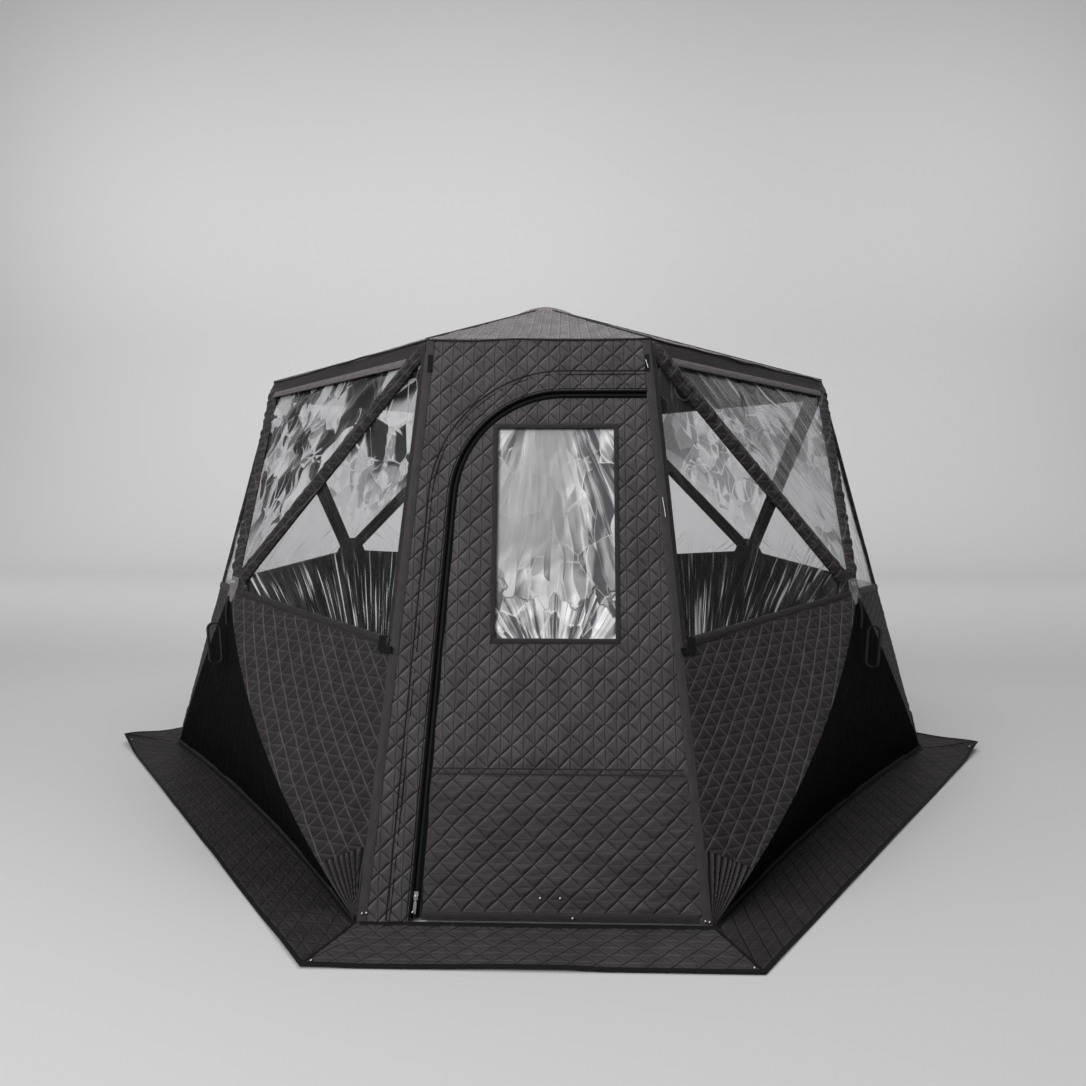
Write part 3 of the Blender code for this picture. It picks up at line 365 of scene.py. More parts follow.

# %% [markdown]
# Window film: clear soft vinyl, about half a millimetre thick. Flat film lets the
# light straight through and mirrors the room only at a slant. Where it is
# crumpled, each facet would send the eye elsewhere, to a lamp or to the dark
# inside; here those reflections are painted: facets are painted white or nearly
# black, and taut folds are painted as thin pale streaks with painted shade beside them.
# The facets are cells of two bent Voronoi patterns, each cell shaded by a slope of
# its own: its random colour times the way from its centre. The streaks are noise
# pulled out along the folds, in a second UV map that holds (across, along) the
# folds. A third map holds how much of each there is. The door's film is mostly
# painted reflection, grey to white.

# %% Clear film
def clear_film(name, mirror_share, least_painted_share, painted_reflection_dark, painted_reflection_bright, whiteness=0.5, shard=(15.0, 5.0),
               across=105.0, strongest=0.80, tone=0.0):
    """Straight-through light, a slanting mirror, and creased shards and streaks painted from dark to white as
    painted reflections.
    """
    made, tree = new_material(name)
    place = add(tree, "UVMap", uv_map="cloth").outputs["UV"]
    folds = add(tree, "UVMap", uv_map="folds").outputs["UV"]
    amounts = add(tree, "UVMap", uv_map="amounts").outputs["UV"]
    amount = add(tree, "SeparateXYZ", [amounts])
    bend = add(tree, "TexNoise", {"Vector": place, "Scale": 6.0, "Detail": 1.0, "Roughness": 0.4},
               normalize=False).outputs["Color"]
    crease = 0.0
    for source, scale, sway, part in ((folds, (*shard, 1.0), 0.32, 0.62),
                                      (place, (13.0, 7.0, 1.0), 0.18, 0.38)):
        pulled = add(tree, "VectorMath", [source, scale], operation="MULTIPLY")
        bent = add(tree, "VectorMath", [bend, (sway, sway, sway), pulled], operation="MULTIPLY_ADD")
        cells = add(tree, "TexVoronoi", {"Vector": bent, "Scale": 1.0, "Randomness": 1.0})
        edges = add(tree, "TexVoronoi", {"Vector": bent, "Scale": 1.0, "Randomness": 1.0},
                    feature="DISTANCE_TO_EDGE")
        apart = add(tree, "VectorMath", [bent, cells.outputs["Position"]], operation="SUBTRACT")
        slope = add(tree, "VectorMath", [cells.outputs["Color"], (0.5, 0.5, 0.5)], operation="SUBTRACT")
        ramp = add(tree, "VectorMath", [apart, slope], operation="DOT_PRODUCT")
        chance = add(tree, "SeparateColor", [cells.outputs["Color"]]).outputs[2]
        facet = add(tree, "Math", [ramp.outputs["Value"], 2.6, chance], operation="MULTIPLY_ADD")
        tone = add(tree, "Math", [facet, part, tone], operation="MULTIPLY_ADD")
        # painted highlight along the crease lines
        line_light = add(tree, "MapRange",
                         {"Value": edges.outputs["Distance"], "From Min": 0.012, "From Max": 0.040,
                          "To Min": 0.45, "To Max": 0.0}, **smooth)
        line_light = add(tree, "Math", [line_light, chance], operation="MULTIPLY")
        crease = add(tree, "Math", [crease, line_light], operation="MAXIMUM")
    tone = add(tree, "Math", [tone, crease], operation="ADD")
    pull = add(tree, "Mapping", {"Vector": folds, "Scale": (across, 3.2, 1.0)})
    streak = add(tree, "TexNoise", {"Vector": pull, "Scale": 1.0, "Detail": 2.5, "Roughness": 0.6,
                                    "Distortion": 0.3})
    # painted pale streaks, and painted shade beside them
    thin = add(tree, "MapRange", {"Value": streak, "From Min": 0.52, "From Max": 0.74,
                                  "To Max": amount.outputs["Y"]}, **smooth)
    shadow = add(tree, "MapRange", {"Value": streak, "From Min": 0.46, "From Max": 0.30,
                                    "To Max": amount.outputs["Y"]}, **smooth)
    shadow = add(tree, "Math", [shadow, 0.45], operation="MULTIPLY")
    white = add(tree, "MapRange", {"Value": tone, "From Min": 0.62, "From Max": 0.86,
                                   "To Max": amount.outputs["X"]}, **smooth)
    white = add(tree, "Math", [white, whiteness], operation="MULTIPLY")
    black = add(tree, "MapRange", {"Value": tone, "From Min": 0.50, "From Max": 0.34,
                                   "To Max": amount.outputs["X"]}, **smooth)
    bright = add(tree, "Math", [white, thin], operation="MAXIMUM")
    dull = add(tree, "Math", [black, shadow], operation="MAXIMUM")
    seen = add(tree, "Math", [bright, dull], operation="MAXIMUM")
    seen = add(tree, "MapRange", {"Value": seen, "From Min": 0.0, "From Max": 1.0,
                                  "To Min": least_painted_share, "To Max": strongest}, **smooth)
    balance = add(tree, "Math", [bright, dull], operation="SUBTRACT")
    balance = add(tree, "MapRange", {"Value": balance, "From Min": -0.6, "From Max": 0.6}, **smooth)
    colour = add(tree, "Mix", {"Factor": balance, "A": linear(painted_reflection_dark), "B": linear(painted_reflection_bright)},
                 data_type="RGBA")
    height = add(tree, "Math", [tone, 0.0035], operation="MULTIPLY")
    height = add(tree, "Math", [height, amount.outputs["X"]], operation="MULTIPLY")
    height = add(tree, "Math", [thin, 0.0012, height], operation="MULTIPLY_ADD")
    bump = add(tree, "Bump", {"Height": height, "Distance": 1.0, "Strength": 1.0})
    facing = add(tree, "LayerWeight", {"Blend": 0.5, "Normal": bump}).outputs["Facing"]
    share = add(tree, "MapRange", {"Value": facing, "From Min": 0.35, "From Max": 1.0,
                                   "To Min": 0.015, "To Max": mirror_share})
    through = add(tree, "BsdfTransparent", {"Color": (0.95, 0.95, 0.955, 1.0)})
    mirror = add(tree, "BsdfAnisotropic", {"Color": (0.96, 0.96, 0.97, 1.0), "Roughness": 0.12,
                                           "Normal": bump})
    # painted reflection: the fold's colour runs from the dark to the bright painted reflection
    fold = add(tree, "BsdfPrincipled", {"Base Color": colour.outputs["Result"], "Roughness": 0.25,
                                        "IOR": 1.5, "Normal": bump})
    body = add(tree, "MixShader", [share, through, mirror])
    whole = add(tree, "MixShader", [seen, body, fold])
    add(tree, "OutputMaterial", {"Surface": whole})
    return made


front_film = clear_film("clear_vinyl_film", 0.40, 0.015, "#232325", "#ECECEE")
back_film = clear_film("clear_vinyl_film_back", 0.20, 0.01, "#3A3A3C", "#E8E8EA", strongest=0.45)
door_film = clear_film("milky_vinyl_film_door", 0.35, 0.74, "#66656A", "#FFFFFF", 1.0, (34.0, 2.6), 46.0,
                       0.95, 0.10)
print("films made")

# %% [markdown]
# Cloth pieces are cut flat and then put in place, as in a sewing room. A flat
# outline is filled with evenly spaced points and joined into triangles, then
# lifted onto its panel, puffed, and given the thickness of the cloth.

# %% Cutting a flat outline into triangles
def loop_depth(points, loop):
    """How far points lie inside a convex loop: the least of their distances to the left of its edges."""
    x, y = loop.T
    turn = np.sign(np.sum(x * np.roll(y, -1) - y * np.roll(x, -1)))
    least = np.full(len(points), np.inf)
    for start, end in zip(loop, np.roll(loop, -1, axis=0)):
        run = (end - start) / np.hypot(*(end - start))
        offset = points - start
        least = np.minimum(least, turn * (run[0] * offset[:, 1] - run[1] * offset[:, 0]))
    return least


def edge_gap(points, lines):
    """Distance to the nearest segment, whose nearest point is the foot, kept between its ends."""
    best = np.full(len(points), 1.0)
    for start, end in lines:
        run = np.array(end) - start
        share = np.clip((points - start) @ run / (run @ run), 0, 1)
        best = np.minimum(best, np.linalg.norm(points - start - share[:, None] * run, axis=1))
    return best


def sides_of(loop):
    """The edges of a loop as pairs of points."""
    return list(zip(loop, np.roll(loop, -1, axis=0)))


def walk(loop, step):
    """Points along a loop, each edge shared into equal steps."""
    parts = []
    for start, end in sides_of(np.array(loop, float)):
        count = max(1, round(float(np.hypot(*(end - start))) / step))
        parts.append(start + (end - start) * (np.arange(count) / count)[:, None])
    return np.vstack(parts)


def cut(outline, holes=(), step=0.008, rims=None):
    """Points and triangles inside a convex outline and outside convex holes.

    The grid's rows stand step times 0.866 apart and every second one is moved half
    a step, so the triangles come out nearly equal-sided.
    """
    outline, holes = np.array(outline, float), [np.array(hole, float) for hole in holes]
    rims = [walk(rim, step) for rim in (rims or [outline, *holes])]
    low, high = outline.min(0), outline.max(0)
    rows = np.arange(low[1], high[1], step * 0.866)
    columns = np.arange(low[0] - step, high[0] + step, step)
    across = columns[None, :] + (np.arange(len(rows)) % 2)[:, None] * step / 2
    grid = np.stack([across, np.repeat(rows[:, None], len(columns), axis=1)], axis=2).reshape(-1, 2)
    keep = loop_depth(grid, outline) > 0.45 * step
    for hole in holes:
        keep &= loop_depth(grid, hole) < -0.45 * step
    edges, first = [], 0
    for rim in rims:
        numbers = np.arange(len(rim))
        edges.extend(np.stack([first + numbers, first + (numbers + 1) % len(rim)], axis=1).tolist())
        first += len(rim)
    found = delaunay_2d_cdt(np.vstack([*rims, grid[keep]]).tolist(), edges, [], 1, 1e-7)
    points, faces = np.array(found[0]), np.array(found[2])
    middle = points[faces].mean(axis=1)
    keep = loop_depth(middle, outline) > 0
    for hole in holes:
        keep &= loop_depth(middle, hole) < 0
    used, numbers = np.unique(faces[keep], return_inverse=True)
    return points[used], numbers.reshape(-1, 3)


crease_angle = 48              # degrees between faces, from which an edge is sharp


def mesh_piece(name, points, faces, uv, made):
    """An object from arrays of points and triangles, with its cloth coordinates in a UV map."""
    mesh = bpy.data.meshes.new(name)
    mesh.vertices.add(len(points))
    mesh.vertices.foreach_set("co", np.ascontiguousarray(points, np.float32).ravel())
    mesh.loops.add(faces.size)
    mesh.loops.foreach_set("vertex_index", np.ascontiguousarray(faces, np.int32).ravel())
    mesh.polygons.add(len(faces))
    mesh.polygons.foreach_set("loop_start", np.arange(0, faces.size, 3, dtype=np.int32))
    mesh.update(calc_edges=True)
    layer = mesh.uv_layers.new(name="cloth")
    layer.data.foreach_set("uv", np.ascontiguousarray(uv[faces.ravel()], np.float32).ravel())
    mesh.materials.append(made)
    mesh.shade_smooth()
    mesh.set_sharp_from_angle(angle=math.radians(crease_angle))
    thing = bpy.data.objects.new(name, mesh)
    scene.collection.objects.link(thing)
    return thing


def solid(name, faces, outer, inner, uv, made):
    """Closed piece: a sheet, the same sheet turned over behind it, and a strip along each free edge."""
    count = len(outer)
    directed = np.vstack([faces[:, (0, 1)], faces[:, (1, 2)], faces[:, (2, 0)]])
    low, high = directed.min(axis=1), directed.max(axis=1)
    _, first, times = np.unique(low * count + high, return_index=True, return_counts=True)
    a, b = directed[first[times == 1]].T
    strip = np.vstack([np.stack([b, a, a + count], axis=1), np.stack([b, a + count, b + count], axis=1)])
    whole = np.vstack([faces, faces[:, ::-1] + count, strip])
    return mesh_piece(name, np.vstack([outer, inner]), whole, np.vstack([uv, uv]), made)


trial = cut([(0, 0), (0.2, 0), (0.1, 0.15)], step=0.02)
print("trial cut:", len(trial[0]), "points", len(trial[1]), "triangles")

# %% [markdown]
# The tent's own geometry, in the same figures as the frame: a six-sided plan at
# the ground and at the eaves, and four walls that rise to a hub. A panel is a
# plane with an outer and an inner face, so a point can be put at any depth.

# %% Plan, corners and panels
cloth = 0.008
wall_height, apex_height = 1.742, 2.084
hub_height, hub_bulge = 0.878, 0.235
skirt_width, skirt_cloth = 0.205, 0.006
valance, sleeve_half, corner_seam, sill_seam = 0.085, 0.036, 0.016, 0.010
sill_height, hub_patch = 0.790, 0.088
seat = 0.0003                  # between pieces that touch
base_length, base_depth, base_end = 1.80, 1.53, 0.516      # half of the plan at the ground
top_length, top_depth, top_end = 1.280, 1.088, 0.367       # and at the eaves
film_thick, film_allowance = 0.0006, 0.012                 # drawn film, and its seam behind the cloth
unit_square = np.array([(-1, -1), (1, -1), (1, 1), (-1, 1)])


def plan_ring(half_length, half_depth, end_half):
    """Six corners seen from above, counter-clockwise from the front right one."""
    return np.array([(end_half, -half_depth), (half_length, 0), (end_half, half_depth),
                     (-end_half, half_depth), (-half_length, 0), (-end_half, -half_depth)], float)


base_ring = plan_ring(base_length, base_depth, base_end)
top_ring = plan_ring(top_length, top_depth, top_end)


def unit(vector):
    """A vector divided by its length."""
    return np.array(vector, float) / np.linalg.norm(vector)


def side_out(ring, index):
    """Outward normal of a side: its run, turned a quarter clockwise."""
    run = ring[(index + 1) % 6] - ring[index % 6]
    return unit((run[1], -run[0]))


def ring_corner(ring, index, inset):
    """A corner moved in until both sides have moved by the inset."""
    before, after = side_out(ring, index - 1), side_out(ring, index)
    return ring[index % 6] - (before + after) * inset / (1 + before @ after)


def corner_point(index, share, inset=0.0):
    """A point on an upright corner, its height as a share of the wall's."""
    foot, head = ring_corner(base_ring, index, inset), ring_corner(top_ring, index, inset)
    return np.append(foot + (head - foot) * share, wall_height * share)


class Panel:
    """A plane of cloth from three outer and three inner corners and their flat coordinates."""

    def __init__(self, outer, inner, flat=None):
        outer = np.array(outer, float)
        self.along = unit(outer[1] - outer[0])
        self.out = unit(np.cross(outer[1] - outer[0], outer[2] - outer[0]))
        self.across = np.cross(self.out, self.along)
        if flat is None:
            flat = (outer - outer[0]) @ np.stack([self.along, self.across]).T
        self.flat = np.array(flat, float)
        self.weigh = np.linalg.inv(np.c_[self.flat, np.ones(3)])
        self.to_outer, self.to_inner = self.weigh @ outer, self.weigh @ np.array(inner, float)
        level = np.cross((0, 0, 1), self.out)
        level = unit(level) if np.linalg.norm(level) > 0.001 else self.along
        self.pattern_axes = np.stack([level, np.cross(self.out, level)])

    def lift(self, flat, depth=0.0):
        """Place at a depth behind the outer face: that face plus the depth's share of the way inwards."""
        spot = np.c_[np.atleast_2d(flat), np.ones(len(np.atleast_2d(flat)))]
        share = np.broadcast_to(np.asarray(depth, float) / cloth, len(spot))[:, None]
        return spot @ self.to_outer + (spot @ (self.to_inner - self.to_outer)) * share

    def shares(self, flat):
        """Share of each corner in flat points: (x, y, 1) times the inverse of the corners' (x, y, 1)."""
        return np.c_[flat, np.ones(len(flat))] @ self.weigh

    def pattern(self, flat):
        """Metres across and up the slope, which the quilting follows."""
        return self.lift(flat) @ self.pattern_axes.T


foot_share = (skirt_cloth + seat) / wall_height
eaves_share = (wall_height - seat) / wall_height
sill_share = (sill_height - skirt_cloth) / (wall_height - skirt_cloth)
print("sill share of the upright corner", round(sill_share, 3))

# %% [markdown]
# A hub wall has four triangular panels round its hub: the lower one, two beside
# it and the upper one. Rods pull the cloth tight. The lower rods towards the
# front and back corners are bent outwards, so their ridges bow by about 90 mm.
# The bow dies out towards the other edges of the two panels that share a ridge.
# The foot of the lower panel is pulled in by 42 mm at its middle.

# %% Hub walls
hub_walls = {"front_right": 0, "back_right": 1, "back_left": 3, "front_left": 4}
end_bow, side_bow, foot_bow = 0.090, 0.010, 0.042


def clip(loop, start, end, margin=0.0):
    """The part of a convex loop to the left of the line start-end, past a margin."""
    run = unit(np.array(end) - start)
    left = np.array((-run[1], run[0]))
    kept = []
    for here, after in sides_of(np.array(loop, float)):
        a, b = (here - start) @ left - margin, (after - start) @ left - margin
        if a >= 0:
            kept.append(here)
        if a * b < 0:
            kept.append(here + (after - here) * a / (a - b))
    return np.array(kept)


def inset(corners, margins):
    """A convex loop moved inwards by one margin for each side."""
    loop = np.array(corners, float)
    for (start, end), margin in zip(sides_of(loop.copy()), margins):
        loop = clip(loop, start, end, margin)
    return loop


def clear_of(loop, centre, towards, reach):
    """Cut off the corner of a loop that lies near a point."""
    run = unit(towards - centre)
    start = centre + run * reach
    return clip(loop, start, start + np.array((run[1], -run[0])))


class HubWall:
    """The four panels of one hub wall, their window outlines and the bow of their ridges."""

    def __init__(self, name, index):
        self.name, self.body, self.seed = name, "hub_" + name, 7 * index
        out_plan = np.append(side_out(base_ring, index), 0.0)
        foot = (corner_point(index, 0) + corner_point(index + 1, 0)) / 2
        head = (corner_point(index, 1) + corner_point(index + 1, 1)) / 2
        run = unit(corner_point(index + 1, 0) - corner_point(index, 0))
        self.out = unit(np.cross(run, unit(head - foot)))
        self.pull_in = -out_plan * foot_bow
        self.hub = foot + (head - foot) * hub_height / wall_height + out_plan * hub_bulge
        self.hub_in = self.hub - self.out * cloth
        clear = run * seat / 2
        ends = ((index, foot_share, clear), (index + 1, foot_share, -clear),
                (index + 1, eaves_share, -clear), (index, eaves_share, clear))
        self.corners = [corner_point(i, share) + shift for i, share, shift in ends]
        self.corners_in = [corner_point(i, share, cloth) + shift for i, share, shift in ends]
        self.panels = []
        for k in range(4):
            after = (k + 1) % 4
            self.panels.append(Panel((self.corners[k], self.corners[after], self.hub),
                                     (self.corners_in[k], self.corners_in[after], self.hub_in)))
        ends_at_side = index in (0, 3)       # the wall's second corner is a side one
        self.bows = (end_bow, side_bow) if ends_at_side else (side_bow, end_bow)
        self.bow_runs = []
        for k, other in ((0, 3), (0, 1)):
            normal = unit(np.cross(self.panels[k].across, self.panels[other].across))
            self.bow_runs.append(normal * np.sign(normal @ self.out))

    def sill(self, k):
        """Flat point on the upright corner where the clear part of a side panel starts."""
        start, end, _ = self.panels[k].flat
        return start + (end - start) * (sill_share if k == 1 else 1 - sill_share)

    def window(self, k):
        """Window outline of a panel."""
        start, end, hub = self.panels[k].flat
        if k == 2:
            loop = inset((start, end, hub), (valance, sleeve_half, sleeve_half))
            return clear_of(loop, hub, (start + end) / 2, hub_patch)
        sill = self.sill(k)
        corners = (sill, end, hub) if k == 1 else (start, sill, hub)
        margins = (corner_seam, sleeve_half, sill_seam) if k == 1 else (corner_seam, sill_seam, sleeve_half)
        return clear_of(inset(corners, margins), hub, (corners[0] + corners[1]) / 2, hub_patch)

    def bow(self, k, flat):
        """Outward shift: 4 h (1 - h) times the bow, h being the hub's share of a point.

        It falls off linearly from the ridge to the sill line, or to the other ridge.
        The foot is pulled in by 4 n (1 - n) (1 - h), n being the first corner's share.
        """
        flat = np.atleast_2d(flat)
        shares = self.panels[k].shares(flat)
        rise = 4 * shares[:, 2] * (1 - shares[:, 2])
        near = shares[:, 0] / np.maximum(shares[:, 0] + shares[:, 1], 1e-9)
        total = np.zeros((len(flat), 3))
        if k == 0:
            parts = ((near, 0), (1 - near, 1))
            total = (4 * near * (1 - near) * (1 - shares[:, 2]))[:, None] * self.pull_in
        elif k == 2:
            return total
        else:
            foot = near if k == 1 else 1 - near
            parts = ((np.clip((foot - (1 - sill_share)) / sill_share, 0, 1), 1 if k == 1 else 0),)
        return total + sum((rise * fall * self.bows[n])[:, None] * self.bow_runs[n] for fall, n in parts)

    def place(self, k, flat, depth=0.0):
        """Place of flat points of a panel, with the bow added."""
        return self.panels[k].lift(flat, depth) + self.bow(k, flat)

    def hang(self, piece, k):
        """Bake a piece's place into its mesh."""
        start, end, hub = self.panels[k].flat
        foot = self.panels[k].lift((hub[0], 0.0))[0]
        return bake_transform(piece)


def finish(piece, slot_name, *nodes):
    """Hide the CAD nodes that a piece stands for."""
    if nodes:
        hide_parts(*nodes)
    return piece


walls = {name: HubWall(name, index) for name, index in hub_walls.items()}
print("hubs", {name: np.round(wall.hub, 3).tolist() for name, wall in walls.items()})

# %% [markdown]
# Quilting is cloth puffed between sewn lines. The height of a point is a dome
# over its distance from the nearest line, flattened towards hems and bindings,
# with two sizes of soft wrinkles on top.

# %% Quilted and plain pieces
hem_width = 0.012              # flat edge beside a hem


def quilt_height(uv, gap, tall, seed, families):
    """The puff between the sewn lines, times a smooth step of the gap to the hems, plus wrinkles."""
    dome = puff(uv[:, 0], uv[:, 1], families)
    inside = soft_step(np.clip(gap / hem_width, 0, 1))
    x, y = uv.T
    low = noise(x, y, 0.110, seed) * 0.0022 + noise(x, y, 0.034, seed + 1) * 0.0008
    lively = 1 + 0.35 * noise(x, y, 0.050, seed + 2)
    return inside * (tall * (dome * lively - 0.25) + low), inside * dome


def cloth_piece(name, lift, pattern, points, faces, gap, made, seed, tall=0.0036, families=triangles,
                lining=0.0012, extra=None, thick=cloth):
    """One closed piece of cloth: outer face puffed, inner face puffed less the other way."""
    uv = pattern(points)
    height, dome = quilt_height(uv, gap, tall, seed, families)
    if extra is not None:
        height = height + extra
    return solid(name, faces, lift(points, -height), lift(points, thick + lining * dome), uv, made)


def front_flat(x, z):
    """A flat point of the front wall: across and height."""
    return np.stack(np.broadcast_arrays(x, z), axis=-1).astype(float)


def end_depth(z):
    """Distance of the end walls from the centre at a height: a straight slope from foot to eaves."""
    return base_depth + (top_depth - base_depth) * z / wall_height


def end_half(z):
    """Half of an end wall's width at a height."""
    return base_end + (top_end - base_end) * z / wall_height


def end_wall(side):
    """Panel of the front (-1) or back (1) wall, its flat coordinates being metres across and height."""
    outer, inner = ([(x, side * (end_depth(z) - inward), z) for x, z in ((0, 0), (-side, 0), (0, 1))]
                    for inward in (0, cloth))
    return Panel(outer, inner, flat=[(0, 0), (1, 0), (0, 1)])


front, back = end_wall(-1), end_wall(1)
lean = math.degrees(math.atan2(base_depth - top_depth, wall_height))
print("front wall leans back", round(lean, 1), "degrees")

# %% [markdown]
# The side panels of a hub wall: quilted below the sill, an unquilted pleated
# gusset at the front foot, and above the sill a frame of plain cloth round the
# window. The frame's edges along the two upper ridges are pole sleeves, domed
# bands that pucker where they are sewn.

# %% Hub wall cloth
def sleeve_dome(wall, k, points):
    """Dome over the distance to a sleeved ridge, puckered along it and fading out at the hub."""
    start, end, hub = wall.panels[k].flat
    ridges = {1: (end,), 2: (start, end), 3: (start,)}[k]
    total = np.zeros(len(points))
    for corner in ridges:
        run = unit(hub - corner)
        offset = points - corner
        along = offset @ run
        away = np.abs(offset[:, 0] * run[1] - offset[:, 1] * run[0])
        left = np.linalg.norm(hub - corner) - along
        share = np.clip(1 - (away / 0.031) ** 2, 0, 1)
        pucker = 1 + 0.22 * np.sin(2 * np.pi * along / 0.062) + 0.18 * np.sin(2 * np.pi * along / 0.041 + 1.0)
        fade = np.clip((left - 0.050) / 0.060, 0, 1) * np.clip(along / 0.050, 0, 1)
        total = np.maximum(total, 0.0095 * np.sqrt(share) * pucker * fade)
    return total


def wall_cloth_pieces(wall, step):
    """All cloth of one hub wall, each piece following its panel."""
    made = []
    for k, panel in enumerate(wall.panels):
        start, end, hub = panel.flat
        mirror = -1 if "left" in wall.name else 1
        lift = lambda flat, depth, k=k: wall.place(k, flat, depth)
        label = wall.name + ("_lower", "_side_a", "_top", "_side_b")[k]
        # The lower panel takes the near-black cloth: painted shade.
        if k == 0:
            points, faces = cut([start, end, hub], step=step * 1.15)
            gap = edge_gap(points, sides_of(panel.flat))
            made.append((k, cloth_piece("quilt_" + label, lift, panel.pattern, points, faces, gap,
                                        lower_painted_shade_cloth, 11 + wall.seed, tall=0.0022)))
            continue
        if k != 2:
            sill = wall.sill(k)
            foot, head = (start, end) if k == 1 else (end, start)
            seam = ((foot + (sill - foot) * 0.26), (foot + (hub - foot) * 0.160))
            loop = np.array([foot, sill, hub] if k == 1 else [foot, hub, sill])
            cut_from, cut_to = seam if k == 1 else seam[::-1]
            upper = clip(loop, cut_to, cut_from)
            lower = clip(loop, cut_from, cut_to)
            if loop_depth(np.array([foot]), upper)[0] > -1e-6:
                upper, lower = lower, upper
            points, faces = cut(upper, step=step)
            gap = edge_gap(points, sides_of(upper))
            closer = lambda flat: panel.pattern(flat) * (mirror * 1.24, 0.96)
            made.append((k, cloth_piece("quilt_" + label, lift, closer, points, faces, gap, side_cloth,
                                        23 + k + wall.seed, families=slanted)))
            points, faces = cut(lower, step=0.0045)
            gap = edge_gap(points, sides_of(lower))
            offset = points - foot
            angle = np.arctan2(offset[:, 1], offset[:, 0])
            radius = np.linalg.norm(offset, axis=1)
            turn = angle * 62 + 3 * noise(angle * 0.5, radius, 0.1, 3)
            pleat = np.sin(turn) * np.clip(radius / 0.22, 0.15, 1) * np.clip(gap / 0.010, 0, 1) * 0.0066
            uv = np.stack([turn / (2 * np.pi), radius], axis=1)
            made.append((k, solid("gusset_" + label, faces, lift(points, -pleat),
                                  lift(points, cloth * 0.6 - pleat * 0.5), uv, gusset_cloth)))
        window = wall.window(k)
        frame_loop = np.array([start, end, hub]) if k == 2 else np.array(
            [sill, head, hub] if k == 1 else [head, sill, hub])
        points, faces = cut(frame_loop, [window], step=step)
        dome = sleeve_dome(wall, k, points)
        hem = edge_gap(points, sides_of(window))
        x, y = panel.pattern(points).T
        fold = noise(x * 0.35, y * 2.2, 0.075, 5 + k) * (0.0034 if k == 2 else 0.0016)
        fold = fold + noise(x, y, 0.03, 8 + k) * 0.0006
        gap = edge_gap(points, sides_of(frame_loop))
        height = dome + fold * np.clip(gap / 0.01, 0, 1) * np.clip(hem / 0.004, 0, 1)
        frame_piece = solid("frame_" + label, faces, lift(points, -height), lift(points, cloth),
                            panel.pattern(points), sleeve_cloth)
        middle = points[faces].mean(axis=1)
        plain = (middle[:, 1] < valance + 0.004) if k == 2 else (middle[:, 1] < corner_seam + 0.003)
        if k == 2:
            for corner in (start, end):
                offset, run = middle - corner, unit(hub - corner)
                plain &= np.abs(offset[:, 0] * run[1] - offset[:, 1] * run[0]) > 0.034
        number = np.zeros(len(frame_piece.data.polygons), np.int32)
        number[:len(faces)] = plain
        frame_piece.data.materials.append(band_cloth)
        frame_piece.data.polygons.foreach_set("material_index", number)
        made.append((k, frame_piece))
    return made


quilts = {}
for wall in walls.values():
    near = wall.name.startswith("front")
    for k, piece in wall_cloth_pieces(wall, 0.0072 if near else 0.011):
        wall.hang(finish(piece, "quilted_cloth", "wall_" + wall.name), k)
        quilts[piece.name] = piece
print(len(quilts), "pieces of wall cloth,", sum(len(p.data.polygons) for p in quilts.values()), "triangles")

# %% [markdown]
# Behind the cloth of each window lies a clear film. Film can't stretch evenly, so
# it creases into flat shards. Summed triangle waves in scattered directions give
# such shards. Near the sill the film hangs in upright folds, which fan out from
# below the upright corner.

# %% Window films
def shards(x, y, tall, size, seed):
    """Flat shards: triangle waves of random direction and length, shifted by noise, and summed."""
    chance = np.random.default_rng(seed)
    total = np.zeros(np.shape(x))
    warp_x, warp_y = noise(x, y, 0.16, seed + 3) * 0.05, noise(x, y, 0.16, seed + 4) * 0.05
    for _ in range(5):
        angle, length = chance.uniform(0, np.pi), size * chance.uniform(0.7, 2.2)
        phase = ((x + warp_x) * np.cos(angle) + (y + warp_y) * np.sin(angle)) / length + chance.uniform()
        total += np.abs(phase - np.floor(phase) - 0.5) * length / size
    return (total - total.mean()) * tall


def extra_map(thing, name, pairs):
    """One more UV map: a pair of numbers for each point of the sheet, the same on both of its faces."""
    corner = np.empty(len(thing.data.loops), np.int32)
    thing.data.loops.foreach_get("vertex_index", corner)
    layer = thing.data.uv_layers.new(name=name)
    layer.data.foreach_set("uv", np.ascontiguousarray(pairs[corner % len(pairs)], np.float32).ravel())


def fan_folds(points, centre, upright):
    """Folds that fan out from a point: (angle from the upright run times one metre, distance)."""
    offset = points - centre
    across = np.array((upright[1], -upright[0]))
    return np.stack([np.arctan2(offset @ across, offset @ upright), np.linalg.norm(offset, axis=1)], axis=1)


def film_panel_loop(wall, k):
    """Film outline: behind the frame, past the window's edge by the seam allowance."""
    start, end, hub = wall.panels[k].flat
    edge = corner_seam - film_allowance
    top = (valance - film_allowance) / wall.panels[2].flat[2][1]
    reach = 0.074
    if k == 2:
        return np.array([start + (hub - start) * top, end + (hub - end) * top,
                         hub + unit(end - hub) * reach, hub + unit(start - hub) * reach])
    head, foot = (end, start) if k == 1 else (start, end)
    sill = foot + (head - foot) * sill_share
    run = unit(hub - sill)
    below = np.array((run[1], -run[0])) * (film_allowance - sill_seam)
    if below @ (foot - sill) < 0:
        below = -below
    corner = sill + below + run * (edge - below[1]) / run[1]
    loop = [corner, head + (hub - head) * edge / hub[1], head + (hub - head) * top,
            hub + unit(head - hub) * reach, hub + below - run * reach]
    return np.array(loop if k == 1 else loop[::-1])


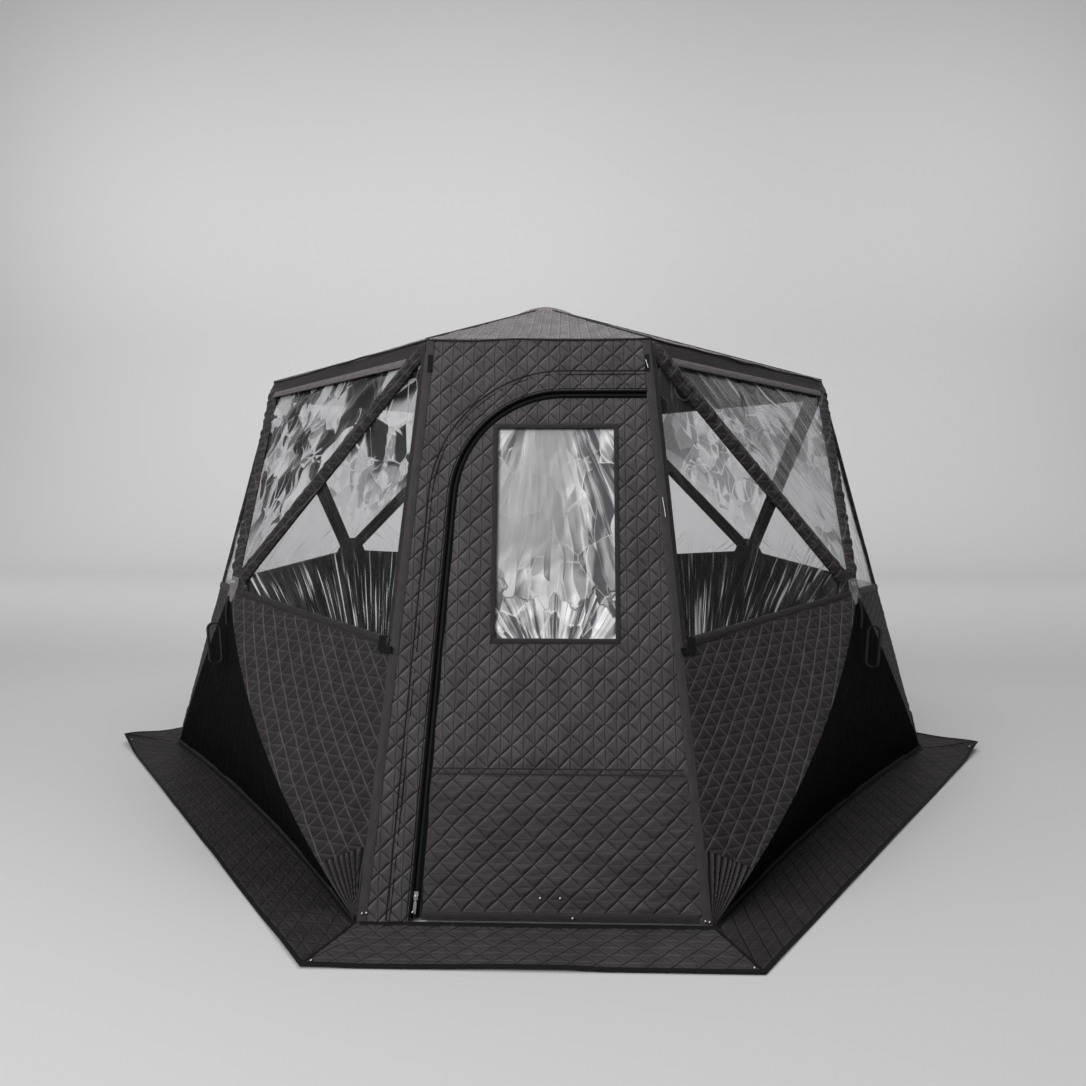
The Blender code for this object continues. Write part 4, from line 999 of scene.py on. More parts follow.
films = []
for wall in walls.values():
    near = wall.name.startswith("front")
    for k in (1, 2, 3):
        panel = wall.panels[k]
        loop = film_panel_loop(wall, k)
        points, faces = cut(loop, step=0.0085 if near else 0.014)
        x, y = panel.pattern(points).T
        z = panel.lift(points)[:, 2]
        start, end, hub = panel.flat
        gap = edge_gap(points, sides_of(loop))
        from_hub = np.linalg.norm(points - hub, axis=1)
        if k == 2:
            slant = unit(hub - (end if wall.name == "front_right" else start))
            if wall.name == "front_right":
                away = np.array((slant[1], -slant[0]))
                folds = np.stack([points @ away + 0.10 * noise(x, y, 0.30, 51), points @ slant], axis=1) * 0.8
                facets, streaks = 0.30 + 0.3 * noise(x, y, 0.2, 52), np.full(len(x), 0.85)
            else:
                folds = fan_folds(points, hub, unit((start + end) / 2 - hub)) * (0.35, 1.0)
                streaks = 0.75 * (1 - ease(from_hub, 0.22, 0.50)) + 0.20
                facets = 0.20 + 0.80 * ease(from_hub, 0.15, 0.42)
        else:
            foot, head = (start, end) if k == 1 else (end, start)
            upright = unit(head - foot)
            sill = wall.sill(k)
            folds = fan_folds(points, sill - upright * 0.42, upright) * (0.55, 1.0)
            rise = (z - sill_height) - 0.06 * noise(x, y, 0.12, 61 + k)
            streaks = 0.95 * (1 - ease(rise, 0.10, 0.34)) + 0.10 + 0.25 * ease(rise, 0.45, 0.75)
            facets = 0.95 * ease(np.linalg.norm(points - head, axis=1), 0.62, 0.34)
            facets = facets * (0.45 if wall.name == "front_right" else 1.0)
        if not near:
            streaks, facets = streaks * 0.5, facets * 0.5 + 0.1
        crumple = shards(x, y, 0.0070, 0.105, 31 + k + wall.seed) * np.clip(facets, 0.15, 1)
        hanging = 0.0016 * noise(folds[:, 0], folds[:, 1] * 0.1, 0.016, 41 + k) * streaks
        height = np.clip(gap / 0.02, 0, 1) * (crumple + hanging)
        lift = lambda flat, depth, k=k, wall=wall: wall.place(k, flat, depth)
        depth = cloth + seat + 0.0015 - height
        label = f"film_{wall.name}_{('side_a', 'top', 'side_b')[k - 1]}"
        piece = solid(label, faces, lift(points, depth), lift(points, depth + film_thick),
                      panel.pattern(points), front_film if near else back_film)
        extra_map(piece, "folds", folds)
        extra_map(piece, "amounts", np.stack([np.clip(facets, 0, 1), np.clip(streaks, 0, 1)], axis=1))
        wall.hang(finish(piece, "clear_film", "window_film_" + wall.name), k)
        corners = points[faces]
        films.append(piece)
print(len(films), "films")

# %% [markdown]
# Long narrow things, such as bindings, piping, webbing and rods, are one
# section carried along a path. Where the path turns a corner the section is
# widened, as a mitred binding is.

# %% Sweeps and repeats
def lengths(path):
    """Distance along a path at each of its points: the sum of the steps before it."""
    return np.concatenate([[0], np.cumsum(np.linalg.norm(np.diff(path, axis=0), axis=1))])


def at_marks(path, marks):
    """Places at distances along a path, straight between its points."""
    return np.stack([np.interp(marks, lengths(path), path[:, axis]) for axis in range(3)], axis=1)


def grid_faces(rows, columns, wrap_rows=False, wrap_columns=False):
    """Triangles of a grid of points: each cell is cut along its diagonal."""
    i = np.arange(rows if wrap_rows else rows - 1)[:, None]
    j = np.arange(columns if wrap_columns else columns - 1)[None, :]
    a, b = i * columns + j, (i + 1) % rows * columns + j
    c, d = (i + 1) % rows * columns + (j + 1) % columns, i * columns + (j + 1) % columns
    pair = np.stack([np.stack([a, b, c], axis=-1), np.stack([a, c, d], axis=-1)], axis=2)
    return pair.reshape(-1, 3)


def unit_rows(rows):
    """Each row divided by its length."""
    return rows / np.maximum(np.linalg.norm(rows, axis=1, keepdims=True), 1e-12)


def sweep(name, path, normals, section, made, closed=False, scale=1.0):
    """A section carried along a path.

    Side is tangent times normal, over the cosine of half the turn. A ring is the
    path's point plus side and normal times the section's two coordinates.
    """
    path, section = np.array(path, float), np.array(section, float)
    if closed:
        before, after = path - np.roll(path, 1, axis=0), np.roll(path, -1, axis=0) - path
    else:
        runs = np.diff(path, axis=0)
        before, after = np.vstack([runs[:1], runs]), np.vstack([runs, runs[-1:]])
    after = unit_rows(after)
    tangent = unit_rows(unit_rows(before) + after)
    half = np.clip((tangent * after).sum(axis=1), 0.5, 1)
    side = unit_rows(np.cross(tangent, np.broadcast_to(normals, path.shape)))
    up = unit_rows(np.cross(side, tangent))
    size = np.broadcast_to(scale, len(path))[:, None, None]
    rings = (path[:, None] + size * (side[:, None] / half[:, None, None]) * section[None, :, :1]
             + size * up[:, None] * section[None, :, 1:])
    count, around = len(path), len(section)
    faces = grid_faces(count, around, closed, True)
    if not closed:
        fan = np.stack([np.zeros(around - 2, int), np.arange(1, around - 1), np.arange(2, around)], axis=1)
        faces = np.vstack([faces, fan, fan[:, ::-1] + (count - 1) * around])
    run, rim = lengths(path), lengths(section)
    uv = np.stack(np.broadcast_arrays(run[:, None], rim[None, :]), axis=-1).reshape(-1, 2)
    return mesh_piece(name, rings.reshape(-1, 3), faces, uv, made)


def band(width, thick):
    """Section of a flat band with softened edges, standing on its path."""
    w, t = width / 2, thick
    return [(-w, 0), (w, 0), (w, t * 0.55), (w * 0.82, t), (-w * 0.82, t), (-w, t * 0.55)]


def tube(radius, sides=10):
    """Round section."""
    turn = 2 * np.pi * np.arange(sides) / sides
    return np.stack([np.cos(turn), np.sin(turn)], axis=1) * radius


def line(start, end, step=0.02):
    """Evenly spaced points from start to end."""
    start, end = np.array(start, float), np.array(end, float)
    count = max(2, round(float(np.linalg.norm(end - start)) / step) + 1)
    return start + (end - start) * np.linspace(0, 1, count)[:, None]


def repeat(name, points, faces, places, firsts, ups, made):
    """Copies of one small shape: its x along firsts, its z along ups, at places."""
    first = unit_rows(np.broadcast_to(firsts, places.shape) * 1.0)
    second = unit_rows(np.cross(np.broadcast_to(ups, places.shape), first))
    third = np.cross(first, second)
    turn = np.stack([first, second, third], axis=1)
    whole = places[:, None] + np.einsum("pj,njk->npk", np.array(points, float), turn)
    faces = np.array(faces)
    copies = faces[None] + (np.arange(len(places)) * len(points))[:, None, None]
    uv = np.zeros((whole.shape[0] * whole.shape[1], 2))
    uv[:, 0] = np.tile(np.array(points, float)[:, 0], len(places))
    return mesh_piece(name, whole.reshape(-1, 3), copies.reshape(-1, 3), uv, made)


def spaced(path, pitch):
    """Places and directions a pitch apart along a path."""
    path = np.array(path, float)
    marks = np.arange(pitch / 2, lengths(path)[-1], pitch)
    ahead, behind = at_marks(path, marks + 0.001), at_marks(path, marks - 0.001)
    return at_marks(path, marks), unit_rows(ahead - behind)


stitch_points = [(-0.0026, 0, 0), (0.0026, 0, 0), (0, -0.0006, 0.0003), (0, 0.0006, 0.0003),
                 (0, 0, 0.0008), (0, 0, -0.0004)]
stitch_faces = [(0, 2, 4), (2, 1, 4), (1, 3, 4), (3, 0, 4), (2, 0, 5), (1, 2, 5), (3, 1, 5), (0, 3, 5)]


def stitching(name, path, ups, pitch=0.0072):
    """A row of thread stitches just over the cloth."""
    places, runs = spaced(path, pitch)
    return repeat(name, stitch_points, stitch_faces, places, runs, ups, thread)


def lathe(profile, sides=14):
    """Points and triangles of a profile of (radius, height) turned about the z axis."""
    profile = np.array(profile, float)
    turn = 2 * np.pi * np.arange(sides) / sides
    rings = np.stack([profile[:, :1] * np.cos(turn), profile[:, :1] * np.sin(turn),
                      np.repeat(profile[:, 1:], sides, axis=1)], axis=2)
    return rings.reshape(-1, 3), grid_faces(len(profile), sides, False, True)[:, ::-1]


def on_shell(piece, slot_name, body="shell", *nodes):
    """Ride on a body and hide the CAD nodes that the piece stands for."""
    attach(piece, body)
    return finish(piece, slot_name, *nodes)


print("grid of 3 by 3 has", len(grid_faces(3, 3)), "triangles")

# %% [markdown]
# The roof is six quilted panels sewn along the ridges, with narrow felled seams
# over them.

# %% Roof
roof_rise = apex_height - wall_height
roof_lift = np.array((0, 0, cloth * math.hypot(top_depth, roof_rise) / top_depth))
apex = np.array((0, 0, apex_height), float)
roof_panels = []
for side in range(6):
    eaves = (corner_point(side, 1), corner_point(side + 1, 1))
    roof_panels.append(Panel((eaves[0] + roof_lift, eaves[1] + roof_lift, apex),
                             (*eaves, apex - roof_lift)))
port_panel = roof_panels[2]


def hang_roof(piece, panel):
    """Bake a piece's place into its mesh."""
    foot = panel.lift((panel.flat[2][0], 0.0))[0]
    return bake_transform(piece)


def circle(centre, radius, sides=40):
    """Points on a circle."""
    return centre + tube(radius, sides)


print("roof panels", len(roof_panels))

# %% [markdown]
# Six quilted panels are sewn edge to edge under a small cap. Towards its middle
# each panel sinks a little. The rear one has a round hole for a stovepipe, with a
# heat-proof patch sewn round it.

# %% Roof panels, seams and the stovepipe port
port_reach = 0.388                                           # from the eaves to the port, seen from above
roof_hole, patch_hole, ring_seam = 0.095, 0.065, 0.083       # radii round the port
port_middle = (port_panel.flat[0] + port_panel.flat[1]) / 2
port_centre = port_middle + (port_panel.flat[2] - port_middle) * port_reach / top_depth
for number, panel in enumerate(roof_panels):
    holes = [circle(port_centre, roof_hole)] if panel is port_panel else []
    points, faces = cut(panel.flat, holes, step=0.0095)
    gap = edge_gap(points, [pair for loop in (panel.flat, *holes) for pair in sides_of(loop)])
    sag = -0.30 * np.clip(panel.shares(points), 0, 1).prod(axis=1)
    piece = cloth_piece(f"roof_panel_{number}", panel.lift, panel.pattern, points, faces, gap, roof_painted_light_cloth,
                        71 + number, tall=0.0034, extra=sag)
    hang_roof(finish(piece, "quilted_roof_cloth", "roof_skin"), panel)
    ridge_out = unit(panel.out + roof_panels[number - 1].out)
    seam_path = line(panel.lift(panel.flat[0], -0.0012)[0], panel.lift(panel.flat[2], -0.0012)[0], 0.03)
    seam = sweep(f"roof_seam_{number}", seam_path, ridge_out, band(0.013, 0.0022), band_cloth)
    hang_roof(finish(seam, "quilted_roof_cloth"), panel)
cap_profile = [(0.156, -0.0510), (0.153, -0.0460), (0.125, -0.0330), (0.095, -0.0200), (0.068, -0.0100),
               (0.042, -0.0030), (0.020, -0.0004), (0.0, 0.0004)]
cap_points, cap_faces = lathe(cap_profile, 36)
cap = mesh_piece("roof_cap", cap_points + apex, cap_faces, cap_points[:, :2], roof_painted_light_cloth)
hang_roof(finish(cap, "quilted_roof_cloth"), roof_panels[0])
eaves_ring = np.array([corner_point(side, 1) for side in range(6)])
eaves_path = np.vstack([line(eaves_ring[i], eaves_ring[(i + 1) % 6], 0.04)[:-1] for i in range(6)])
sway = noise(np.arange(len(eaves_path)) * 0.04, np.zeros(len(eaves_path)), 0.13, 9) * 0.0040
eaves_path[:, 2] += sway + 0.0035
outward = unit_rows(eaves_path * np.array([1, 1, 0]))
on_shell(sweep("eaves_piping", eaves_path, outward, tube(0.0036), band_cloth, closed=True),
         "quilted_roof_cloth")

patch_half = 0.140
square = port_centre + unit_square * patch_half
points, faces = cut(square, [circle(port_centre, patch_hole)], step=0.010)
gap = edge_gap(points, sides_of(square))
swell = 0.0006 * noise(points[:, 0], points[:, 1], 0.05, 3) - 0.0005 * (gap < 0.004)
patch = solid("port_patch", faces, port_panel.lift(points, -0.0026 - swell), port_panel.lift(points, -seat),
              points, heat_cloth)
on_shell(patch, "heat_proof_cloth", "shell", "chimney_patch")
loop = port_centre + unit_square * (patch_half - 0.006)
path = np.vstack([line(port_panel.lift(a, -0.0030)[0], port_panel.lift(b, -0.0030)[0])
                  for a, b in sides_of(loop)])
on_shell(stitching("port_stitches", path, port_panel.out), "heat_proof_cloth")
ring = circle(port_centre, ring_seam)
path = port_panel.lift(ring, -0.0032)
on_shell(stitching("port_ring_stitches", np.vstack([path, path[:1]]), port_panel.out), "heat_proof_cloth")
dress(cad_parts["chimney_ring"], steel)
dress(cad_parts["chimney_lid"], heat_cloth)
lid_low, lid_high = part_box("chimney_lid")
print("rain lid from", np.round(lid_low, 3).tolist(), "to", np.round(lid_high, 3).tolist())

# %% [markdown]
# The door is an arch cut out of the front wall. Its curve runs up the left side,
# round a large corner and along the head to the sewn hinge. Every strip beside
# the zip is this same curve, moved outwards or inwards.

# %% The door's curve
door_radius, door_head = 0.360, wall_height - 0.170
hinge_margin, zip_gap, door_foot = 0.030, 0.022, 0.014
foot_corner = np.array((-0.361, 0.0))
left_run = unit(np.array((-0.253, door_head)) - foot_corner)
left_in = np.array((left_run[1], -left_run[0]))
arc_centre = foot_corner + left_run * ((door_head - door_radius - left_in[1] * door_radius) / left_run[1])
arc_centre = arc_centre + left_in * door_radius


def door_curve(inset_by, foot=door_foot, counts=(60, 36, 14)):
    """The door's outline moved in by a distance: straight side, arc about its centre, straight head."""
    start = foot_corner + left_in * inset_by
    start = start + left_run * ((foot - start[1]) / left_run[1])
    first = math.atan2(-left_in[1], -left_in[0]) % (2 * math.pi)
    angles = np.linspace(first, math.pi / 2, counts[1] + 1)
    arc = arc_centre + np.stack([np.cos(angles), np.sin(angles)], axis=1) * (door_radius - inset_by)
    head = door_head - inset_by
    end = np.array((end_half(head) - hinge_margin, head))
    side = start + (arc[0] - start) * (np.arange(counts[0]) / counts[0])[:, None]
    top = arc[-1] + (end - arc[-1]) * (np.arange(1, counts[2] + 1) / counts[2])[:, None]
    return np.vstack([side, arc, top])


def beside_zip(width, depth, counts=(150, 70, 30)):
    """Path beside the door's curve, at a depth behind the face of the front wall."""
    return front.lift(door_curve(width, door_foot, counts), depth)


def strip(widths):
    """Flat points and triangles of a strip beside the door's curve."""
    rows = np.stack([door_curve(width, door_foot, (160, 72, 34)) for width in widths], axis=1)
    return rows.reshape(-1, 2), grid_faces(rows.shape[0], rows.shape[1])[:, ::-1], rows.shape


door_polygon = np.vstack([door_curve(0, -0.10), [(end_half(-0.10) - hinge_margin, -0.10)]])
print("door curve", len(door_curve(0)), "points, head at", round(door_head, 3))

# %% [markdown]
# The front wall is cut from quilted cloth round the door. A plain band runs down
# each front corner, where the front wall is sewn to the hub walls.

# %% Front wall, back wall and corner bands
low_z, high_z = foot_share * wall_height, eaves_share * wall_height
gap_half = seat / 2
outline = np.array([(-end_half(low_z) + gap_half, low_z), (end_half(low_z) - gap_half, low_z),
                    (end_half(high_z) - gap_half, high_z), (-end_half(high_z) + gap_half, high_z)])
opening = door_curve(0, low_z, (60, 24, 10))
rim = np.vstack([outline[0], opening, [(end_half(low_z) - hinge_margin, low_z)], outline[1:]])
points, faces = cut(outline, [door_polygon], step=0.0062, rims=[rim])
outside = -loop_depth(points, door_polygon)
corner_gap = np.minimum(*(np.abs(points[:, 0] - side * end_half(points[:, 1])) for side in (-1, 1)))
gap = np.minimum(np.clip(outside - 0.068, 0, 1), corner_gap - 0.027)
gap = np.minimum(gap, np.abs(points[:, 1] - low_z) - 0.012)
gap = np.clip(np.minimum(gap, high_z - points[:, 1]), 0, 1)
piece = cloth_piece("front_wall_quilt", front.lift, front.pattern, points, faces, gap, wall_cloth, 101)
on_shell(piece, "quilted_cloth", "shell", "front_wall")

points, faces = cut(outline, step=0.0105)
gap = edge_gap(points, sides_of(outline))
piece = cloth_piece("back_wall_quilt", back.lift, back.pattern, points, faces, gap, wall_cloth, 111)
on_shell(piece, "quilted_cloth", "shell", "back_wall")

for end, panel in (("front", front), ("back", back)):
    for side, label in ((-1, "left"), (1, "right")):
        heights = np.linspace(low_z, high_z, 90)
        flat = front_flat(side * (end_half(heights) - 0.0145), heights)
        wobble = noise(heights, heights * 0, 0.11, 17 + side) * 0.0008
        strip_piece = sweep(f"corner_band_{end}_{label}", panel.lift(flat, -seat - np.abs(wobble)), panel.out,
                            band(0.027, 0.0024), corner_cloth)
        on_shell(strip_piece, "quilted_cloth")
        for offset in (0.003, 0.024):
            flat = front_flat(side * (end_half(heights) - 0.001 - offset), heights)
            on_shell(stitching(f"corner_stitches_{end}_{label}_{int(offset * 1000)}",
                               panel.lift(flat, -0.0029), panel.out), "quilted_cloth")
print("front and back walls made")

# %% [markdown]
# The storm flap covers the zip's outer side: a quilted strip 72 mm wide, folded
# over at the zip into a piped double edge, and double stitched at its far edge.

# %% Storm flap and zip
flap_width, flap_hem = 0.0715, 0.008
widths = np.linspace(-flap_width, -0.0005, 15)
flat, faces, shape = strip(widths)
across = np.tile(widths, shape[0])
uv = front.pattern(flat)
gap = np.clip(np.minimum(-across - 0.016, across + flap_width - flap_hem), 0, 1)
height, dome = quilt_height(uv, gap, 0.0030, 131, triangles)
ridges = 0.0018 * (np.exp(-((across + 0.0635) / 0.0022) ** 2) + np.exp(-((across + 0.0140) / 0.0020) ** 2))
soft = 0.0012 * noise(uv[:, 0], uv[:, 1], 0.09, 77)
piece = solid("storm_flap_quilt", faces, front.lift(flat, -0.0036 - height - ridges - np.abs(soft)),
              front.lift(flat, -seat), uv, wall_cloth)
on_shell(piece, "quilted_cloth", "shell", "storm_flap")
for width, radius in ((-0.0030, 0.0030), (-0.0100, 0.0016)):
    path = beside_zip(width, -0.0040)
    on_shell(sweep(f"flap_piping_{int(-width * 1e4)}", path, front.out, tube(radius, 8), piping_cloth),
             "quilted_cloth")
for width in (-0.0570, -0.0690):
    path = beside_zip(width, -0.0042)
    on_shell(sweep(f"flap_seam_{int(-width * 1e4)}", path, front.out, band(0.0042, 0.0014), piping_cloth),
             "quilted_cloth")
    path = beside_zip(width + 0.0034, -0.0054)
    on_shell(stitching(f"flap_stitches_{int(-width * 1e4)}", path, front.out), "quilted_cloth")

flat, faces, shape = strip(np.linspace(-0.010, 0.026, 5))
tape_uv = np.stack([np.repeat(np.arange(shape[0]) * 0.0075, shape[1]), flat[:, 0]], axis=1)
# The zip is near black: black nylon plus painted shade of the flap.
piece = solid("zip_tape_woven", faces, front.lift(flat, cloth + seat),
              front.lift(flat, cloth + seat + 0.0012), tape_uv, zip_weave_black_and_shade)
on_shell(piece, "zip_tape", "shell", "zip_tape")
tooth = [(x * 0.0011, y * 0.0021, z * 0.0013 + 0.0013) for z in (-1, 1) for y in (-1, 1) for x in (-1, 1)]
tooth_faces = [(0, 2, 3), (0, 3, 1), (4, 5, 7), (4, 7, 6), (0, 1, 5), (0, 5, 4),
               (2, 6, 7), (2, 7, 3), (0, 4, 6), (0, 6, 2), (1, 3, 7), (1, 7, 5)]
for side in (-1, 1):
    path = beside_zip(0.011 + side * 0.0014, cloth, (200, 90, 40))
    places, runs = spaced(path, 0.0042)
    places = places + runs * side * 0.0010
    label = "left" if side < 0 else "right"
    teeth = repeat(f"zip_teeth_{label}", tooth, tooth_faces, places, runs, front.out, zip_nylon_black_and_shade)
    on_shell(teeth, "zip_tape", "shell", "zip_coil")
dress(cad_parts["zip_slider"], steel)
dress(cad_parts["zip_pull"], steel)
print("flap and zip made")

# %% [markdown]
# The door leaf has triangles above a double seam and plain diamonds below it.
# Its free edge is loose, so it waves, and near the ground it hangs away from the
# zip. The window is a vinyl sheet behind the leaf, held by a plain binding.

# %% Door leaf
seam_height = 0.420
window_box = np.array([(-0.127, 0.801), (0.245, 0.801), (0.245, 1.4535), (-0.127, 1.4535)])
leaf = door_curve(zip_gap, door_foot, (60, 24, 10))
leaf[-1, 0] -= seat
leaf = np.vstack([leaf, [(end_half(door_foot) - hinge_margin - seat, door_foot)]])[::-1]


def leaf_lift(flat, depth):
    """Place of the leaf's points; near the foot the free edge hangs to the right."""
    flat = np.atleast_2d(flat)
    free = np.clip(1 - (flat[:, 0] + 0.36) / 0.16, 0, 1)
    shift = free * (0.010 * np.exp(-(flat[:, 1] / 0.26) ** 2) + 0.0022 * (1 + np.sin(flat[:, 1] * 31)))
    return front.lift(flat + np.stack([shift, shift * 0], axis=1), depth)


def leaf_half(above):
    """The part of the leaf over or under the double seam."""
    left, right = np.array((-1.0, seam_height)), np.array((1.0, seam_height))
    return clip(leaf, left, right) if above else clip(leaf, right, left)


for label, above, made, families, tall in (("upper", True, wall_cloth, triangles, 0.0034),
                                           ("lower", False, door_cloth, diamonds, 0.0030)):
    half = leaf_half(above)
    points, faces = cut(half, [window_box] if above else [], step=0.0058)
    gap = edge_gap(points, sides_of(half)) - 0.010
    if above:
        gap = np.minimum(gap, edge_gap(points, sides_of(window_box)) - 0.012)
    else:
        gap = np.minimum(gap, points[:, 1] - door_foot - 0.024)
    gap = np.clip(gap, 0, 1)
    x, y = points.T
    billow = 0.0050 * np.sin(np.pi * np.clip((x + 0.36) / 0.72, 0, 1)) * np.clip(gap / 0.05, 0, 1)
    extra = billow + (0.0 if above else 0.0009 * noise(x * 0.35, y, 0.014, 151) * np.clip(gap / 0.01, 0, 1))
    piece = cloth_piece("door_" + label, leaf_lift, front.pattern, points, faces, gap, made, 141, tall,
                        families, extra=extra)
    on_shell(piece, "quilted_cloth", "door", "door_leaf")

seam_x = np.linspace(-0.312, end_half(seam_height) - hinge_margin - 0.008, 90)
for offset in (-0.0075, 0.0075):
    path = leaf_lift(front_flat(seam_x, seam_height + offset), -0.0006)
    on_shell(sweep(f"door_seam_{'low' if offset < 0 else 'high'}", path, front.out, band(0.0040, 0.0016),
                   band_cloth), "quilted_cloth", "door")
hem_x = np.linspace(-0.336, end_half(door_foot) - hinge_margin - 0.009, 90)
hem_path = leaf_lift(front_flat(hem_x, door_foot + 0.012), -0.0004)
on_shell(sweep("door_hem", hem_path, front.out, band(0.024, 0.0030), band_cloth), "quilted_cloth", "door")
for offset in (0.004, 0.020):
    path = leaf_lift(front_flat(hem_x, door_foot + offset), -0.0038)
    on_shell(stitching(f"door_hem_stitches_{int(offset * 1000)}", path, front.out), "quilted_cloth", "door")

loop = window_box + unit_square * 0.0065
path = np.vstack([line(a, b)[:-1] for a, b in sides_of(loop)])
on_shell(sweep("door_window_binding_sewn", front.lift(path, -0.0006), front.out, band(0.0150, 0.0026),
               band_cloth, closed=True), "quilted_cloth", "door", "door_window_binding")
for out_by in (0.002, 0.011):
    loop = window_box + unit_square * out_by
    path = np.vstack([line(a, b) for a, b in sides_of(loop)])
    on_shell(stitching(f"door_window_stitches_{int(out_by * 1000)}", front.lift(path, -0.0033), front.out),
             "quilted_cloth", "door")

film_box = window_box + unit_square * 0.006
points, faces = cut(film_box, step=0.0060)
x, y = points.T
gap = edge_gap(points, sides_of(film_box))
calm = np.clip((gap - 0.004) / 0.03, 0, 1)
right, foot = ease(x, 0.05, 0.20), ease(y, 1.10, 0.84)
fans = [fan_folds(points, np.array((0.02, 1.72)), np.array((0.0, -1.0))),
        fan_folds(points, np.array((0.05, 0.62)), np.array((0.0, 1.0)))]
low = y < 0.93 + 0.06 * noise(x, y, 0.03, 173) + 0.06 * noise(x, y, 0.11, 175)
folds = np.where(low[:, None], fans[1], fans[0]) * (0.45, 1.0)
folds[:, 0] += 0.012 * noise(x, y, 0.16, 167)
high_left = ease(y, 1.30, 1.42) * ease(x, 0.02, -0.08)
facets = np.clip(0.06 + 0.10 * noise(x, y, 0.10, 169) + 0.45 * right + 0.50 * foot + 0.3 * high_left, 0, 1)
streaks = np.clip(0.14 + 0.60 * right + 0.60 * foot + 0.40 * high_left, 0, 1)
height = calm * (shards(x, y, 0.0034, 0.060, 161) * (0.3 + facets)
                 + noise(folds[:, 0], folds[:, 1] * 0.1, 0.012, 165) * 0.0022 * streaks)
depth = cloth + seat + 0.001 - height
piece = solid("door_window_film_sewn", faces, front.lift(points, depth),
              front.lift(points, depth + film_thick), front.pattern(points), door_film)
extra_map(piece, "folds", folds)
extra_map(piece, "amounts", np.stack([facets, streaks], axis=1))
on_shell(piece, "clear_film", "door", "door_window_film")
print("door made")

# %% [markdown]
# The skirt lies on the ground all round, in six quilted lengths with mitred
# corners and a piped edge. Snow or stones hold it down. The two side corners
# curl up a little, and the outer edge waves.

# %% Skirt
def offset_ring(inset_by):
    """The six corners on the ground, moved in until all sides have moved by the inset."""
    return np.array([ring_corner(base_ring, i, inset_by) for i in range(6)])


outer_ring, inner_ring = offset_ring(-skirt_width), offset_ring(cloth)


def skirt_rise(plan):
    """Height of the skirt over flat ground: a curl at the two side corners and a wave at the outer edge."""
    plan = np.atleast_2d(plan)
    curl = sum(0.034 * np.exp(-(np.linalg.norm(plan - outer_ring[i], axis=1) / 0.15) ** 2) for i in (1, 4))
    edge = np.clip(1 - edge_gap(plan, sides_of(outer_ring)) / 0.10, 0, 1)
    angle = np.arctan2(plan[:, 1], plan[:, 0])
    wave = np.clip(noise(angle * 1.0, angle * 0, 0.09, 171) * 0.5 + 0.3, 0, 1) * 0.0075
    return curl + wave * edge * edge


def foot_line(ring, start, end):
    """Foot of a wall from corner to corner: on the hub walls pulled in by 4 t (1 - t) times the bow."""
    path = line(ring[start], ring[end], 0.03)
    share = np.linspace(0, 1, len(path))[:, None]
    side = start if (start + 1) % 6 == end else end
    inward = -side_out(base_ring, side) * (foot_bow if side in hub_walls.values() else 0.0)
    return path + 4 * share * (1 - share) * inward


for side in range(6):
    after = (side + 1) % 6
    corners = [np.append(outer_ring[side], skirt_cloth), np.append(outer_ring[after], skirt_cloth),
               np.append(inner_ring[side], skirt_cloth)]
    below = [point - np.array((0, 0, cloth)) for point in corners]
    panel = Panel(corners, below)
    plan = np.vstack([outer_ring[[side, after]], foot_line(inner_ring, after, side)])
    flat = (plan - outer_ring[side]) @ np.stack([panel.along[:2], panel.across[:2]]).T
    points, faces = cut(flat, step=0.0095)
    gap = edge_gap(points, sides_of(flat))

    def lift(flat_points, depth, panel=panel):
        """Skirt point with the curl added."""
        placed = panel.lift(flat_points, depth)
        placed[:, 2] += skirt_rise(placed[:, :2])
        return placed

    # Lengths under the hub walls take the darker cloth: painted shade.
    piece = cloth_piece(f"skirt_{side}", lift, panel.pattern, points, faces, gap,
                        skirt_side_painted_shade_cloth if side in hub_walls.values() else skirt_cloth_made, 181 + side,
                        tall=0.0034, lining=0.0, thick=skirt_cloth)
    on_shell(piece, "quilted_skirt_cloth", "shell", "skirt")


def ring_path(ring, height, curved=False):
    """Closed path round a ring at a height over the skirt, straight or along the foot of the walls."""
    runs = [(i, (i + 1) % 6) for i in range(6)]
    plan = np.vstack([(foot_line(ring, i, j) if curved else line(ring[i], ring[j], 0.03))[:-1]
                      for i, j in runs])
    return np.column_stack([plan, height + skirt_rise(plan)])


edge_path = ring_path(offset_ring(-skirt_width + 0.004), 0.0050)
on_shell(sweep("skirt_piping", edge_path, (0, 0, 1), band(0.0130, 0.0042), piping_cloth, closed=True),
         "quilted_skirt_cloth")
path = ring_path(offset_ring(-skirt_width + 0.016), skirt_cloth + 0.0010)
on_shell(stitching("skirt_edge_stitches", np.vstack([path, path[:1]]), (0, 0, 1)), "quilted_skirt_cloth")
path = ring_path(offset_ring(-0.008), skirt_cloth - 0.0005, True)
on_shell(sweep("skirt_wall_seam", path, (0, 0, 1), band(0.018, 0.0040), piping_cloth, closed=True),
         "quilted_skirt_cloth")
for side in range(6):
    away = unit(outer_ring[side] - inner_ring[side])
    path_plan = line(base_ring[side] + away * 0.014, outer_ring[side] - away * 0.006, 0.015)
    path = np.column_stack([path_plan, skirt_cloth - 0.0004 + skirt_rise(path_plan)])
    on_shell(sweep(f"skirt_mitre_{side}", path, (0, 0, 1), band(0.009, 0.0030), piping_cloth),
             "quilted_skirt_cloth")
print("skirt made")
